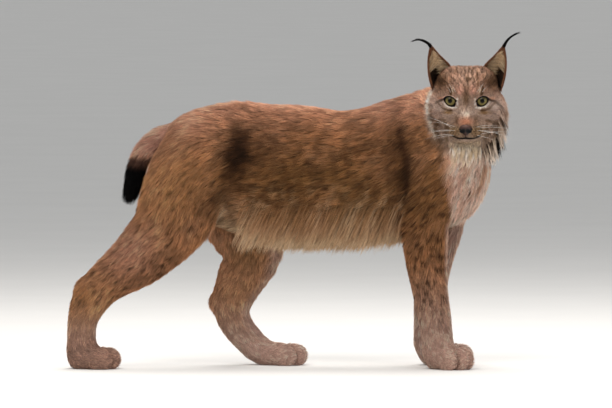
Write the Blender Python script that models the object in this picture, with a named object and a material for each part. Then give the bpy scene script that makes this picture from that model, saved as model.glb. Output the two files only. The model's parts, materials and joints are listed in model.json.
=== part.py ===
"""A standing Eurasian lynx, life size, its body in profile and its head turned to its right.

Metres, +Z up. The body points along +X and the face looks along -Y. The soles rest on Z = 0.
The flesh is one blended field of tubes and ellipsoids, meshed whole and parted with thin cuts.
"""

import math
from typing import Callable, NamedTuple

import bmesh
import bpy
import numpy as np
from mathutils import Matrix, Vector

# Driving dimensions, in metres
MID_PLANE_Y = 0.020
PART_GAP = 0.0003

EYE_HEIGHT = 0.612
EYE_SPACING = 0.074
EYE_RADIUS = 0.0155
HEAD_YAW = math.radians(3.0)

PAW_LENGTH = 0.112
PAW_WIDTH = 0.088
PAW_HEIGHT = 0.055

FLESH_STEP = 0.0065
HEAD_STEP = 0.0040
NOSE_STEP = 0.0020
FLESH_TRIANGLES = 4400
HEAD_TRIANGLES = 2700
NOSE_TRIANGLES = 240

TRUNK_BLEND = 0.045
LEG_BLEND = 0.032
TAIL_BLEND = 0.014
TOE_BLEND = 0.011
SKULL_BLEND = 0.028
FACE_BLEND = 0.016
LIP_BLEND = 0.008
NOSE_BLEND = 0.004
FAR = 1.0

# Stations along each tube: x, y, z, half width across the body, half depth.
# The heights are those of the coat's outer surface.
TORSO = [
    (-0.225, 0.000, 0.487, 0.060, 0.085),
    (-0.190, 0.000, 0.484, 0.078, 0.118),
    (-0.137, 0.000, 0.466, 0.086, 0.147),
    (-0.060, 0.000, 0.446, 0.088, 0.159),
    (0.015, 0.000, 0.437, 0.093, 0.164),
    (0.107, 0.000, 0.433, 0.098, 0.157),
    (0.187, 0.000, 0.439, 0.098, 0.155),
    (0.256, 0.000, 0.448, 0.094, 0.154),
    (0.315, 0.000, 0.440, 0.086, 0.125),
    (0.360, 0.000, 0.430, 0.068, 0.090),
]
NECK = [
    (0.215, 0.000, 0.486, 0.078, 0.101),
    (0.270, -0.002, 0.524, 0.076, 0.095),
    (0.325, -0.010, 0.555, 0.072, 0.088),
    (0.372, -0.026, 0.580, 0.066, 0.078),
]
THROAT = [
    (0.345, 0.000, 0.400, 0.070, 0.074),
    (0.368, -0.006, 0.455, 0.072, 0.080),
    (0.384, -0.024, 0.520, 0.070, 0.072),
]
FORE_RIGHT = [
    (0.262, -0.048, 0.545, 0.034, 0.050),
    (0.285, -0.056, 0.480, 0.042, 0.064),
    (0.308, -0.062, 0.410, 0.044, 0.070),
    (0.303, -0.066, 0.340, 0.041, 0.060),
    (0.305, -0.068, 0.250, 0.036, 0.050),
    (0.313, -0.069, 0.180, 0.034, 0.043),
    (0.325, -0.070, 0.110, 0.033, 0.039),
    (0.331, -0.073, 0.055, 0.034, 0.037),
]
FORE_LEFT = [
    (0.270, 0.048, 0.540, 0.034, 0.050),
    (0.305, 0.056, 0.480, 0.042, 0.064),
    (0.340, 0.062, 0.400, 0.044, 0.068),
    (0.342, 0.066, 0.330, 0.040, 0.056),
    (0.327, 0.067, 0.254, 0.035, 0.046),
    (0.317, 0.068, 0.190, 0.033, 0.041),
    (0.313, 0.069, 0.110, 0.032, 0.037),
    (0.312, 0.070, 0.055, 0.034, 0.036),
]
HIND_RIGHT = [
    (-0.205, -0.040, 0.505, 0.060, 0.088),
    (-0.236, -0.055, 0.440, 0.058, 0.096),
    (-0.258, -0.063, 0.370, 0.054, 0.098),
    (-0.282, -0.067, 0.326, 0.049, 0.086),
    (-0.315, -0.069, 0.288, 0.043, 0.077),
    (-0.356, -0.070, 0.248, 0.038, 0.067),
    (-0.424, -0.072, 0.198, 0.034, 0.050),
    (-0.461, -0.073, 0.157, 0.032, 0.045),
    (-0.479, -0.074, 0.108, 0.031, 0.036),
    (-0.482, -0.074, 0.055, 0.031, 0.034),
]
HIND_LEFT = [
    (-0.185, 0.040, 0.500, 0.060, 0.088),
    (-0.160, 0.056, 0.425, 0.058, 0.100),
    (-0.120, 0.066, 0.340, 0.052, 0.092),
    (-0.092, 0.069, 0.264, 0.044, 0.072),
    (-0.118, 0.071, 0.200, 0.036, 0.058),
    (-0.138, 0.072, 0.152, 0.032, 0.049),
    (-0.139, 0.073, 0.120, 0.031, 0.043),
    (-0.124, 0.074, 0.085, 0.031, 0.038),
    (-0.090, 0.075, 0.045, 0.031, 0.034),
]
# The points of the two hocks: x, y, z and three radii.
HOCKS = [
    (-0.471, -0.073, 0.184, 0.025, 0.017, 0.024),
    (-0.171, 0.072, 0.144, 0.024, 0.017, 0.023),
]
TAIL = [
    (-0.245, 0.000, 0.532, 0.036, 0.038),
    (-0.293, 0.000, 0.524, 0.031, 0.032),
    (-0.330, 0.000, 0.500, 0.028, 0.029),
    (-0.352, 0.000, 0.465, 0.026, 0.027),
    (-0.361, 0.000, 0.430, 0.026, 0.026),
    (-0.369, 0.000, 0.402, 0.022, 0.022),
]

# Each paw: heel x, heel y, heading in degrees from +X towards +Y.
PAWS = {
    "fore_right": (0.314, -0.066, -36.0),
    "fore_left": (0.301, 0.068, -8.0),
    "hind_right": (-0.505, -0.074, -4.0),
    "hind_left": (-0.078, 0.077, -14.0),
}
# The paw's back, its pad and its toes, as shares of its length, width and height: centres and radii.
PAW_BACK = ((0.30, 0.0, 0.36), (0.36, 0.38, 0.56))
PAW_PAD = ((0.46, 0.0, 0.42), (0.26, 0.42, 0.48))
TOES = [(0.61, -0.36), (0.76, -0.13), (0.76, 0.13), (0.61, 0.36)]
TOE_RISE = 0.39
TOE_RADII = (0.25, 0.155, 0.52)

# The head's ellipsoids: forward, left, up, then the same three radii, from between the eyes.
# A left value other than 0 is made on both sides.
SKULL = [
    (-0.042, 0.000, 0.018, 0.050, 0.058, 0.061),
    (-0.044, 0.036, 0.032, 0.044, 0.037, 0.044),
    (-0.062, 0.000, -0.004, 0.040, 0.058, 0.058),
    (-0.002, 0.000, 0.014, 0.030, 0.036, 0.028),
    (-0.018, 0.050, -0.016, 0.034, 0.033, 0.036),
    (-0.014, 0.038, -0.058, 0.033, 0.033, 0.034),
    (-0.018, 0.000, -0.068, 0.045, 0.045, 0.034),
]
RUFF_CORE = [
    (-0.030, 0.054, -0.026, 0.026, 0.023, 0.044),
    (-0.020, 0.042, -0.072, 0.026, 0.022, 0.030),
]
# A lock of long hair from root to tip: shares of its length, and its half width and its lift at each.
LOCK_SHARES = (-0.20, 0.15, 0.50, 0.80, 1.0)
LOCK_WIDTHS = (0.45, 1.00, 0.92, 0.52, 0.0)
LOCK_LIFTS = (-0.80, 0.30, 0.85, 0.95, 0.60)
LOCK_THINNESS = 0.30
LOCK_SPLAY = 0.10
LOCK_LENGTHS = (0.85, 1.12)
LOCK_SEED = 11
# The ruff from below the ear round to the jaw: each row is a root, the way its lock lies and its length.
RUFF = [
    (-0.034, 0.074, 0.016, -0.30, 0.45, -0.85, 0.030),
    (-0.030, 0.080, -0.012, -0.26, 0.34, -0.92, 0.036),
    (-0.026, 0.078, -0.034, -0.22, 0.16, -0.97, 0.042),
    (-0.018, 0.070, -0.056, -0.16, 0.00, -1.00, 0.045),
    (-0.008, 0.060, -0.074, -0.12, -0.08, -1.00, 0.043),
    (0.002, 0.048, -0.084, -0.10, -0.10, -1.00, 0.038),
]
# The ruff's tiers from the back to the front: how far ahead they root, and how much longer their locks are.
RUFF_TIERS = [(-0.022, 1.10), (-0.002, 1.00), (0.018, 0.80)]
RUFF_LOCKS = 5
RUFF_HALF_WIDTH = 0.0105
RUFF_LIFT = 0.006
# The belly's fringe: each run's place across and height, its first and last place along, its locks and length.
FRINGE = [
    (-0.070, 0.318, -0.094, 0.204, 11, 0.064),
    (0.070, 0.318, 0.030, 0.204, 7, 0.064),
]
# The fringe's lie: along the body, inward and up.
FRINGE_LIE = (-0.42, 0.25, -1.0)
FRINGE_HALF_WIDTH = 0.0190
FRINGE_LIFT = 0.003
BRIDGE = [
    (0.010, 0.000, 0.014, 0.019, 0.018),
    (0.032, 0.000, -0.022, 0.019, 0.018),
    (0.049, 0.000, -0.050, 0.017, 0.016),
]
FACE = [
    (0.018, 0.024, -0.042, 0.025, 0.025, 0.025),
    (0.006, 0.040, -0.050, 0.028, 0.024, 0.028),
    (0.026, 0.000, -0.058, 0.034, 0.037, 0.034),
    (0.007, 0.038, 0.000, 0.020, 0.025, 0.023),
    (0.010, 0.034, 0.020, 0.016, 0.022, 0.010),
    (0.004, 0.050, -0.019, 0.018, 0.020, 0.012),
]
LIPS = [
    (0.042, 0.0185, -0.0685, 0.023, 0.0205, 0.0165),
    (0.036, 0.000, -0.086, 0.022, 0.022, 0.0125),
]
NOSE = [
    (0.060, 0.000, -0.0610, 0.012, 0.0128, 0.0085),
    (0.061, 0.000, -0.0690, 0.0095, 0.0065, 0.0090),
    (0.060, 0.0080, -0.0660, 0.0095, 0.0058, 0.0062),
]
NOSTRIL = [
    (0.076, 0.0040, -0.0655),
    (0.069, 0.0066, -0.0680),
    (0.065, 0.0112, -0.0665),
    (0.063, 0.0150, -0.0650),
]
NOSTRIL_HALF = 0.0024
MOUTH = [
    (0.064, 0.0000, -0.0835),
    (0.062, 0.0080, -0.0868),
    (0.055, 0.0180, -0.0878),
    (0.046, 0.0275, -0.0840),
    (0.034, 0.0345, -0.0770),
]
PHILTRUM = [(0.068, 0.0, -0.0740), (0.066, 0.0, -0.0790), (0.064, 0.0, -0.0850)]
MOUTH_HALF_WIDTH = 0.0014
MOUTH_DEPTH = 0.0034

EYE_CENTRE = (0.0150, EYE_SPACING / 2, 0.0)
EYE_TURN = math.radians(11.0)
EYE_MERIDIANS = 16
EYE_PARALLELS = 10

# The opening between the lids, as half sizes on the eyeball, and the lids' outer reach.
LID_HALF_WIDTH = 0.0130
LID_UPPER_HEIGHT = 0.0096
LID_LOWER_HEIGHT = 0.0106
LID_CORNER = 0.35
LID_SLANT = 0.16
LID_THICKNESS = 0.0020
LID_REACH = math.radians(80.0)
LID_COLUMNS = 24

# Each ear's inner edge, back and outer edge from root to tip: forward, left and up.
EAR_INNER = [(-0.040, 0.026, 0.060), (-0.040, 0.042, 0.082), (-0.038, 0.062, 0.101), (-0.036, 0.0835, 0.125)]
EAR_BACK = [(-0.066, 0.058, 0.036), (-0.062, 0.070, 0.070), (-0.050, 0.078, 0.100), (-0.036, 0.0835, 0.125)]
EAR_OUTER = [(-0.016, 0.078, 0.020), (-0.020, 0.087, 0.056), (-0.028, 0.089, 0.090), (-0.036, 0.0835, 0.125)]
EAR_THICKNESS = 0.0042
EAR_COLUMNS = 7
EAR_ROWS_BETWEEN = 3

# The tufts' middle lines from each ear's tip: the right one droops and the left one rises.
TUFTS = {
    -1: [
        (-0.036, -0.080, 0.114),
        (-0.036, -0.088, 0.128),
        (-0.037, -0.103, 0.136),
        (-0.040, -0.117, 0.137),
        (-0.044, -0.131, 0.131),
    ],
    1: [
        (-0.036, 0.081, 0.114),
        (-0.036, 0.086, 0.128),
        (-0.038, 0.095, 0.140),
        (-0.041, 0.107, 0.149),
        (-0.045, 0.124, 0.156),
    ],
}
TUFT_SPREAD = [(0.000, 1.0), (0.003, 0.84), (-0.003, 0.90)]
TUFT_HALF_WIDTH = 0.0050

# The cuts: a point and the way into the piece that is cut off.
HEAD_CUT = ((0.372, MID_PLANE_Y, 0.545), (0.41, -0.44, 0.80))
NECK_CUT = ((0.235, MID_PLANE_Y, 0.600), (0.70, 0.00, 0.72))
TAIL_TIP_CUT = ((-0.355, MID_PLANE_Y, 0.458), (-0.30, 0.00, -0.95))
TAIL_OUTLINE = [
    (-0.262, 0.600),
    (-0.262, 0.520),
    (-0.300, 0.485),
    (-0.322, 0.450),
    (-0.335, 0.360),
    (-0.450, 0.360),
    (-0.450, 0.600),
]
TAIL_HALF = 0.070
# A limb is parted from the trunk on a plane that leans out from the middle, above this height.
CROTCH_HEIGHT = 0.290
LIMB_LEAN = 0.15
LIMB_REACH = 0.300


class Limb(NamedTuple):
    """A limb's side, its outline against the trunk in X and Z, and its nodes with the cuts between them."""

    side: int
    outline: list
    names: tuple
    cuts: list


LIMBS = [
    Limb(
        -1,
        [(0.225, 0.22), (0.222, 0.50), (0.258, 0.572), (0.325, 0.520), (0.378, 0.40), (0.400, 0.22)],
        ("shoulder_right", "forearm_right", "forepaw_right"),
        [((0.303, 0.272), (0.0, -1.0)), ((0.328, 0.078), (0.1, -1.0))],
    ),
    Limb(
        1,
        [(0.225, 0.22), (0.228, 0.50), (0.262, 0.568), (0.345, 0.515), (0.402, 0.40), (0.420, 0.22)],
        ("shoulder_left", "forearm_left", "forepaw_left"),
        [((0.330, 0.272), (-0.1, -1.0)), ((0.303, 0.078), (0.0, -1.0))],
    ),
    Limb(
        -1,
        [(-0.560, 0.22), (-0.370, 0.46), (-0.300, 0.535), (-0.190, 0.578), (-0.125, 0.50), (-0.165, 0.22)],
        ("thigh_right", "shank_right", "hindpaw_right"),
        [((-0.300, 0.302), (-0.66, -0.75)), ((-0.463, 0.156), (-0.45, -0.89))],
    ),
    Limb(
        1,
        [(-0.260, 0.22), (-0.290, 0.47), (-0.260, 0.54), (-0.185, 0.578), (-0.090, 0.50), (0.010, 0.22)],
        ("thigh_left", "shank_left", "hindpaw_left"),
        [((-0.095, 0.248), (-0.15, -0.99)), ((-0.140, 0.130), (0.25, -0.97))],
    ),
]

# The coat's colour on each kind of node, as screen values, and its roughness.
FINISHES = {
    "head": ((150, 112, 88), 0.9),
    "nose": ((52, 36, 30), 0.45),
    "neck": ((132, 94, 74), 0.9),
    "torso": ((118, 84, 62), 0.9),
    "tail": ((128, 86, 64), 0.9),
    "tail_tip": ((14, 12, 12), 0.85),
    "ear": ((120, 92, 70), 0.9),
    "tuft": ((22, 19, 22), 0.8),
    "eye": ((118, 110, 48), 0.12),
    "shoulder": ((122, 86, 64), 0.9),
    "forearm": ((126, 92, 72), 0.9),
    "forepaw": ((184, 146, 126), 0.9),
    "thigh": ((148, 102, 72), 0.9),
    "shank": ((126, 92, 66), 0.9),
    "hindpaw": ((162, 126, 108), 0.9),
}


class Form(NamedTuple):
    """One shape of the field: its value at points, its box and its blend."""

    value: Callable
    low: np.ndarray
    high: np.ndarray
    blend: float


class Frame(NamedTuple):
    """A local frame: its origin, and its three axes as rows."""

    origin: np.ndarray
    axes: np.ndarray

    def inward(self, points):
        return (np.asarray(points, float) - self.origin) @ self.axes.T

    def outward(self, points):
        return np.asarray(points, float) @ self.axes + self.origin


BODY = Frame(np.array([0.0, MID_PLANE_Y, 0.0]), np.eye(3))
FORWARD = np.array([-math.sin(HEAD_YAW), -math.cos(HEAD_YAW), 0.0])
LEFTWARD = np.array([math.cos(HEAD_YAW), -math.sin(HEAD_YAW), 0.0])
HEAD = Frame(
    np.array([0.396, MID_PLANE_Y - 0.085, EYE_HEIGHT]),
    np.array([FORWARD, LEFTWARD, [0.0, 0.0, 1.0]]),
)


def smooth_rows(rows, pieces):
    """Rows read from the Catmull-Rom curve through the given rows, with so many pieces between two."""
    rows = np.asarray(rows, float)
    padded = np.vstack([2 * rows[0] - rows[1], rows, 2 * rows[-1] - rows[-2]])
    share = np.linspace(0, 1, pieces, endpoint=False)[:, None]
    found = []
    for before, start, end, after in zip(padded, padded[1:], padded[2:], padded[3:]):
        found.append(
            start
            + share * (end - before) / 2
            + share**2 * (2 * before - 5 * start + 4 * end - after) / 2
            + share**3 * (3 * start - 3 * end + after - before) / 2
        )
    return np.vstack(found + [rows[-1:]])


def ellipsoid_distance(offsets, radii):
    """Near distance to an ellipsoid: k0 (k0 - 1) / k1, of the offsets over the radii and over their squares."""
    scaled = np.sqrt(((offsets / radii) ** 2).sum(-1))
    squared = np.sqrt(((offsets / radii**2) ** 2).sum(-1))
    return scaled * (scaled - 1) / np.maximum(squared, 1e-6)


def tube(stations, blend, frame=BODY, pieces=3):
    """An elliptical profile carried along the smooth path through the stations, round at its ends."""
    rows = smooth_rows(stations, pieces)
    centres = frame.outward(rows[:, :3])
    sizes = rows[:, 3:]

    def value(points):
        best = np.full(len(points), FAR)
        for start, end, first, last in zip(centres, centres[1:], sizes, sizes[1:]):
            along = end - start
            length = np.linalg.norm(along)
            along = along / length
            across = frame.axes[1] - along * (frame.axes[1] @ along)
            across /= np.linalg.norm(across)
            share = np.clip((points - start) @ along / length, 0, 1)
            offset = points - start - share[:, None] * length * along
            size = first + share[:, None] * (last - first)
            local = np.stack([offset @ along, offset @ across, offset @ np.cross(along, across)], -1)
            radii = np.stack([size.mean(1), size[:, 0], size[:, 1]], -1)
            best = np.minimum(best, ellipsoid_distance(local, radii))
        return best

    reach = sizes.max()
    return Form(value, centres.min(0) - reach, centres.max(0) + reach, blend)


def ellipsoid(row, blend, frame):
    """An ellipsoid in a frame, from its centre and its three radii."""
    centre = np.array(row[:3])
    radii = np.array(row[3:])
    middle = frame.outward(centre)
    reach = radii.max()

    def value(points):
        return ellipsoid_distance(frame.inward(points) - centre, radii)

    return Form(value, middle - reach, middle + reach, blend)


def both_sides(row):
    """The row, and its mirror image where it isn't on the middle plane."""
    forward, left, *rest = row
    return [(forward, left, *rest), (forward, -left, *rest)] if left else [tuple(row)]


def ellipsoids(rows, blend, frame):
    """The ellipsoids of the rows, on both sides of the frame's middle plane."""
    return [ellipsoid(side, blend, frame) for row in rows for side in both_sides(row)]


def paw_frame(name):
    heel_x, heel_y, heading = PAWS[name]
    turn = math.radians(heading)
    ahead = [math.cos(turn), math.sin(turn), 0]
    aside = [-math.sin(turn), math.cos(turn), 0]
    return Frame(np.array([heel_x, heel_y + MID_PLANE_Y, 0.0]), np.array([ahead, aside, [0, 0, 1]]))


def paw(name):
    """A broad pad and back of the foot, with four toes fanned at its front."""
    frame = paw_frame(name)
    size = np.array([PAW_LENGTH, PAW_WIDTH, PAW_HEIGHT])
    shapes = [(*PAW_BACK, LEG_BLEND), (*PAW_PAD, FACE_BLEND)]
    shapes += [((ahead, aside, TOE_RISE), TOE_RADII, TOE_BLEND) for ahead, aside in TOES]
    return [ellipsoid((*(centre * size), *(radii * size)), blend, frame) for centre, radii, blend in shapes]


def flesh_forms():
    """Everything but the head: trunk, neck, legs, paws and tail."""
    forms = [tube(TORSO, TRUNK_BLEND), tube(NECK, TRUNK_BLEND), tube(THROAT, TRUNK_BLEND)]
    for leg in (FORE_RIGHT, FORE_LEFT, HIND_RIGHT, HIND_LEFT):
        forms.append(tube(leg, LEG_BLEND))
    forms += [ellipsoid(hock, FACE_BLEND, BODY) for hock in HOCKS]
    for name in PAWS:
        forms += paw(name)
    forms.append(tube(TAIL, TAIL_BLEND))
    return forms


def head_forms():
    """The skull and cheeks, then the bridge, muzzle and flesh round the eyes, and the lips and chin last."""
    forms = ellipsoids(SKULL + RUFF_CORE, SKULL_BLEND, HEAD)
    forms.append(tube(BRIDGE, FACE_BLEND, HEAD))
    forms += ellipsoids(FACE, FACE_BLEND, HEAD)
    forms += ellipsoids(LIPS, LIP_BLEND, HEAD)
    return forms


def blended(points, forms):
    """The field at points: the forms joined in turn by a quadratic smooth minimum."""
    field = np.full(len(points), FAR)
    for form in forms:
        margin = form.blend + 0.03
        near = ((points > form.low - margin) & (points < form.high + margin)).all(1)
        value = form.value(points[near])
        kept = field[near]
        overlap = np.maximum(form.blend - np.abs(kept - value), 0)
        field[near] = np.minimum(kept, value) - overlap**2 / (4 * form.blend)
    return field


def sampled(forms, low, counts, step, coarser=4):
    """The field on a grid, worked out only where a coarser grid shows that the surface is near."""
    rough_counts = np.ceil((counts - 1) / coarser).astype(int) + 1
    rough_points = low + coarser * step * np.indices(rough_counts).reshape(3, -1).T
    rough = blended(rough_points, forms).reshape(rough_counts)
    nearest = [np.round(np.arange(count) / coarser).astype(int) for count in counts]
    field = rough[np.ix_(*nearest)]
    near = np.argwhere(np.abs(field) < 1.3 * coarser * step)
    field[tuple(near.T)] = blended(low + step * near, forms)
    for axis in range(3):
        ends = np.moveaxis(field, axis, 0)
        ends[[0, -1]] = FAR
    return field


def surface_net(forms, low, high, step):
    """Points and quads of the field's zero surface: a point in each crossed cell, at its mean crossing."""
    counts = np.ceil((np.asarray(high) - low) / step).astype(int) + 1
    field = sampled(forms, low, counts, step)
    inside = field < 0
    corners = [(i, j, k) for i in (0, 1) for j in (0, 1) for k in (0, 1)]
    shape = counts - 1
    full = sum(inside[i : i + shape[0], j : j + shape[1], k : k + shape[2]].astype(int) for i, j, k in corners)
    cells = np.argwhere((full > 0) & (full < 8))
    number = np.full(shape, -1)
    number[tuple(cells.T)] = np.arange(len(cells))
    total = np.zeros((len(cells), 3))
    hits = np.zeros(len(cells))
    quads = []
    for axis in range(3):
        unit = np.eye(3, dtype=int)[axis]
        first, second = [np.eye(3, dtype=int)[(axis + turn) % 3] for turn in (1, 2)]
        for corner in (0 * unit, first, second, first + second):
            start = cells + corner
            here, there = field[tuple(start.T)], field[tuple((start + unit).T)]
            cut = (here < 0) != (there < 0)
            share = here[cut] / (here[cut] - there[cut])
            total[cut] += corner + share[:, None] * unit
            hits += cut
        ahead = np.roll(inside, -1, axis)
        edges = np.argwhere(inside != ahead)
        edges = edges[(edges < shape).all(1) & (edges + unit > 0).all(1)]
        around = [number[tuple((edges - shift).T)] for shift in (0 * unit, first, first + second, second)]
        ring = np.stack(around, -1)
        outward = inside[tuple(edges.T)]
        ring[~outward] = ring[~outward, ::-1]
        quads.append(ring)
    return low + step * (cells + total / hits[:, None]), np.vstack(quads)


def object_of(name, points, faces):
    mesh = bpy.data.meshes.new(name)
    mesh.from_pydata([tuple(point) for point in points], [], [tuple(map(int, face)) for face in faces])
    mesh.update()
    made = bpy.data.objects.new(name, mesh)
    bpy.context.collection.objects.link(made)
    return made


def copy_of(source, name):
    made = bpy.data.objects.new(name, source.data.copy())
    bpy.context.collection.objects.link(made)
    return made


def facing_out(made):
    """Turns a closed mesh's faces outwards."""
    bm = bmesh.new()
    bm.from_mesh(made.data)
    bmesh.ops.recalc_face_normals(bm, faces=bm.faces)
    bm.to_mesh(made.data)
    bm.free()
    return made


def apply_modifiers(target):
    """Puts the evaluated mesh in the place of the object's own, and drops its modifiers."""
    graph = bpy.context.evaluated_depsgraph_get()
    fresh = bpy.data.meshes.new_from_object(target.evaluated_get(graph))
    target.modifiers.clear()
    target.data = fresh


def thin_out(target, triangles):
    """Collapses edges until so many triangles are left."""
    bm = bmesh.new()
    bm.from_mesh(target.data)
    bmesh.ops.triangulate(bm, faces=bm.faces)
    bm.to_mesh(target.data)
    bm.free()
    modifier = target.modifiers.new("thin", "DECIMATE")
    modifier.ratio = min(1.0, triangles / len(target.data.polygons))
    apply_modifiers(target)


def combine(target, others, operation, solver="EXACT"):
    """Joins or cuts the target with closed mesh objects, which are then removed."""
    group = bpy.data.collections.new("pieces")
    for other in others:
        group.objects.link(other)
    modifier = target.modifiers.new("combine", "BOOLEAN")
    modifier.operation = operation
    modifier.operand_type = "COLLECTION"
    modifier.collection = group
    modifier.solver = solver
    apply_modifiers(target)
    for other in others:
        bpy.data.objects.remove(other)
    bpy.data.collections.remove(group)


def inflated(source, distance):
    """A copy with its points moved out along their normals."""
    made = copy_of(source, "inflated")
    bm = bmesh.new()
    bm.from_mesh(made.data)
    bm.normal_update()
    for vertex in bm.verts:
        vertex.co += vertex.normal * distance
    bm.to_mesh(made.data)
    bm.free()
    return made


def keep_largest(target):
    """Drops all but the closed surface with the most points."""
    bm = bmesh.new()
    bm.from_mesh(target.data)
    left = set(bm.verts)
    islands = []
    while left:
        start = left.pop()
        island, edge = {start}, [start]
        while edge:
            for link in edge.pop().link_edges:
                for vertex in link.verts:
                    if vertex not in island:
                        island.add(vertex)
                        edge.append(vertex)
        left -= island
        islands.append(island)
    largest = max(islands, key=len)
    bmesh.ops.delete(bm, geom=[vertex for vertex in bm.verts if vertex not in largest], context="VERTS")
    bmesh.ops.triangulate(bm, faces=bm.faces)
    bm.to_mesh(target.data)
    bm.free()


def cut_clear(target, neighbours, gap=PART_GAP, solver="EXACT"):
    """Cuts the target back to a thin gap from each neighbour."""
    for neighbour in neighbours:
        combine(target, [inflated(neighbour, gap)], "DIFFERENCE", solver)
    keep_largest(target)


def part_off(target, name, cutter):
    """Parts the target along the cutter's surface: what is inside becomes a new object, a thin gap away."""
    piece = copy_of(target, name)
    wider = inflated(cutter, 2 * PART_GAP)
    combine(piece, [cutter], "INTERSECT")
    combine(target, [wider], "DIFFERENCE")
    keep_largest(piece)
    keep_largest(target)
    return piece


def half_space(cut, size=1.6):
    """A cube with one face on the cut's plane, on the side that the cut's normal points to."""
    point, normal = Vector(cut[0]), Vector(cut[1]).normalized()
    bm = bmesh.new()
    bmesh.ops.create_cube(bm, size=size)
    turn = normal.to_track_quat("Z", "Y").to_matrix().to_4x4()
    bm.transform(Matrix.Translation(point + normal * size / 2) @ turn)
    mesh = bpy.data.meshes.new("half")
    bm.to_mesh(mesh)
    bm.free()
    made = bpy.data.objects.new("half", mesh)
    bpy.context.collection.objects.link(made)
    return made


def prism(outline, near_y, far_y):
    """A closed block: an outline in X and Z, from a near Y that may vary with the height to a far Y."""
    near = [(x, near_y(z) + MID_PLANE_Y, z) for x, z in outline]
    far = [(x, far_y + MID_PLANE_Y, z) for x, z in outline]
    count = len(outline)
    faces = [tuple(range(count)), tuple(range(count, 2 * count))]
    faces += [(i, (i + 1) % count, count + (i + 1) % count, count + i) for i in range(count)]
    return facing_out(object_of("prism", near + far, faces))


def limb_cutter(limb):
    """The block that takes a limb: its outline above the crotch, and all on its side below that."""
    upper = prism(limb.outline, lambda z: limb.side * LIMB_LEAN * (z - 0.22), limb.side * LIMB_REACH)
    left, right = limb.outline[0][0], limb.outline[-1][0]
    feet = [(left - 0.05, -0.05), (left, CROTCH_HEIGHT), (right, CROTCH_HEIGHT), (right + 0.09, -0.05)]
    combine(upper, [prism(feet, lambda z: limb.side * 0.001, limb.side * LIMB_REACH)], "UNION")
    return upper


def side_frame(side):
    """The head's frame for side 1, its left, or its mirror image for side -1, its right."""
    return Frame(HEAD.origin, HEAD.axes * np.array([1, side, 1])[:, None])


def grid_faces(rows, columns):
    """Quads of rings of points numbered one after another, each ring closed."""
    row, column = np.meshgrid(np.arange(rows - 1), np.arange(columns), indexing="ij")
    after = (column + 1) % columns
    ring = [row * columns + column, row * columns + after, (row + 1) * columns + after, (row + 1) * columns + column]
    return [tuple(face) for face in np.stack(ring, -1).reshape(-1, 4)]


def strand(path, widths, depths, facing, sides=4):
    """A closed strip: an oval carried along the path to a point, its broad side turned to facing."""
    path = np.asarray(path, float)
    along = np.gradient(path, axis=0)
    along /= np.linalg.norm(along, axis=1, keepdims=True)
    across = np.cross(facing, along)
    across /= np.linalg.norm(across, axis=1, keepdims=True)
    normal = np.cross(along, across)
    turn = np.linspace(0, 2 * math.pi, sides, endpoint=False)[:, None]
    rings = [
        centre + width * np.cos(turn) * side + depth * np.sin(turn) * up
        for centre, width, depth, side, up in zip(path[:-1], widths, depths, across, normal)
    ]
    faces = grid_faces(len(rings), sides) + [tuple(range(sides))]
    last, tip = (len(rings) - 1) * sides, len(rings) * sides
    faces += [(last + side, last + (side + 1) % sides, tip) for side in range(sides)]
    return facing_out(object_of("strand", np.vstack(rings + [path[-1:]]), faces))


def onto_surface(points, forms):
    """Points moved to the field's zero surface by Newton steps, and the field's gradient there."""
    points = np.array(points, float)
    nudge = 0.0005
    for _ in range(6):
        here = blended(points, forms)
        gradient = np.stack([blended(points + nudge * axis, forms) - here for axis in np.eye(3)], -1) / nudge
        size = np.maximum((gradient**2).sum(-1, keepdims=True), 1e-6)
        points -= here[:, None] * gradient / size
    return points, gradient / np.sqrt(size)


def eye_frame(side):
    """The eyeball's frame: along its gaze, towards the outer corner, up."""
    head = side_frame(side)
    turned = np.array([
        [math.cos(EYE_TURN), math.sin(EYE_TURN), 0],
        [-math.sin(EYE_TURN), math.cos(EYE_TURN), 0],
        [0, 0, 1],
    ])
    return Frame(head.outward(np.array(EYE_CENTRE)), turned @ head.axes)


def eyeball(name, side, radius):
    bm = bmesh.new()
    bmesh.ops.create_uvsphere(bm, u_segments=EYE_MERIDIANS, v_segments=EYE_PARALLELS, radius=radius)
    mesh = bpy.data.meshes.new(name)
    bm.to_mesh(mesh)
    bm.free()
    made = bpy.data.objects.new(name, mesh)
    bpy.context.collection.objects.link(made)
    frame = eye_frame(side)
    for vertex in mesh.vertices:
        vertex.co = Vector(frame.outward(np.array(vertex.co)))
    return facing_out(made)


def lid_edge():
    """The opening's edge as angles from the gaze and headings round it, an almond a little raised outside."""
    turn = np.linspace(0, 2 * math.pi, LID_COLUMNS, endpoint=False)
    height = np.where(np.sin(turn) > 0, LID_UPPER_HEIGHT, LID_LOWER_HEIGHT)
    across = LID_HALF_WIDTH * np.cos(turn)
    upward = height * np.sin(turn) * np.abs(np.sin(turn)) ** LID_CORNER + LID_SLANT * across
    return np.arcsin(np.hypot(across, upward) / EYE_RADIUS), np.arctan2(upward, across)


def rings_round_eye(side, rows):
    """Rings of points at angles from the gaze and radii from the eyeball's centre."""
    heading = lid_edge()[1]
    rings = []
    for angle, radius in rows:
        angle = np.broadcast_to(angle, heading.shape)
        ring = [np.cos(angle), np.sin(angle) * np.cos(heading), np.sin(angle) * np.sin(heading)]
        rings.append(radius * np.stack(ring, -1))
    return eye_frame(side).outward(np.vstack(rings))


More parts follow.
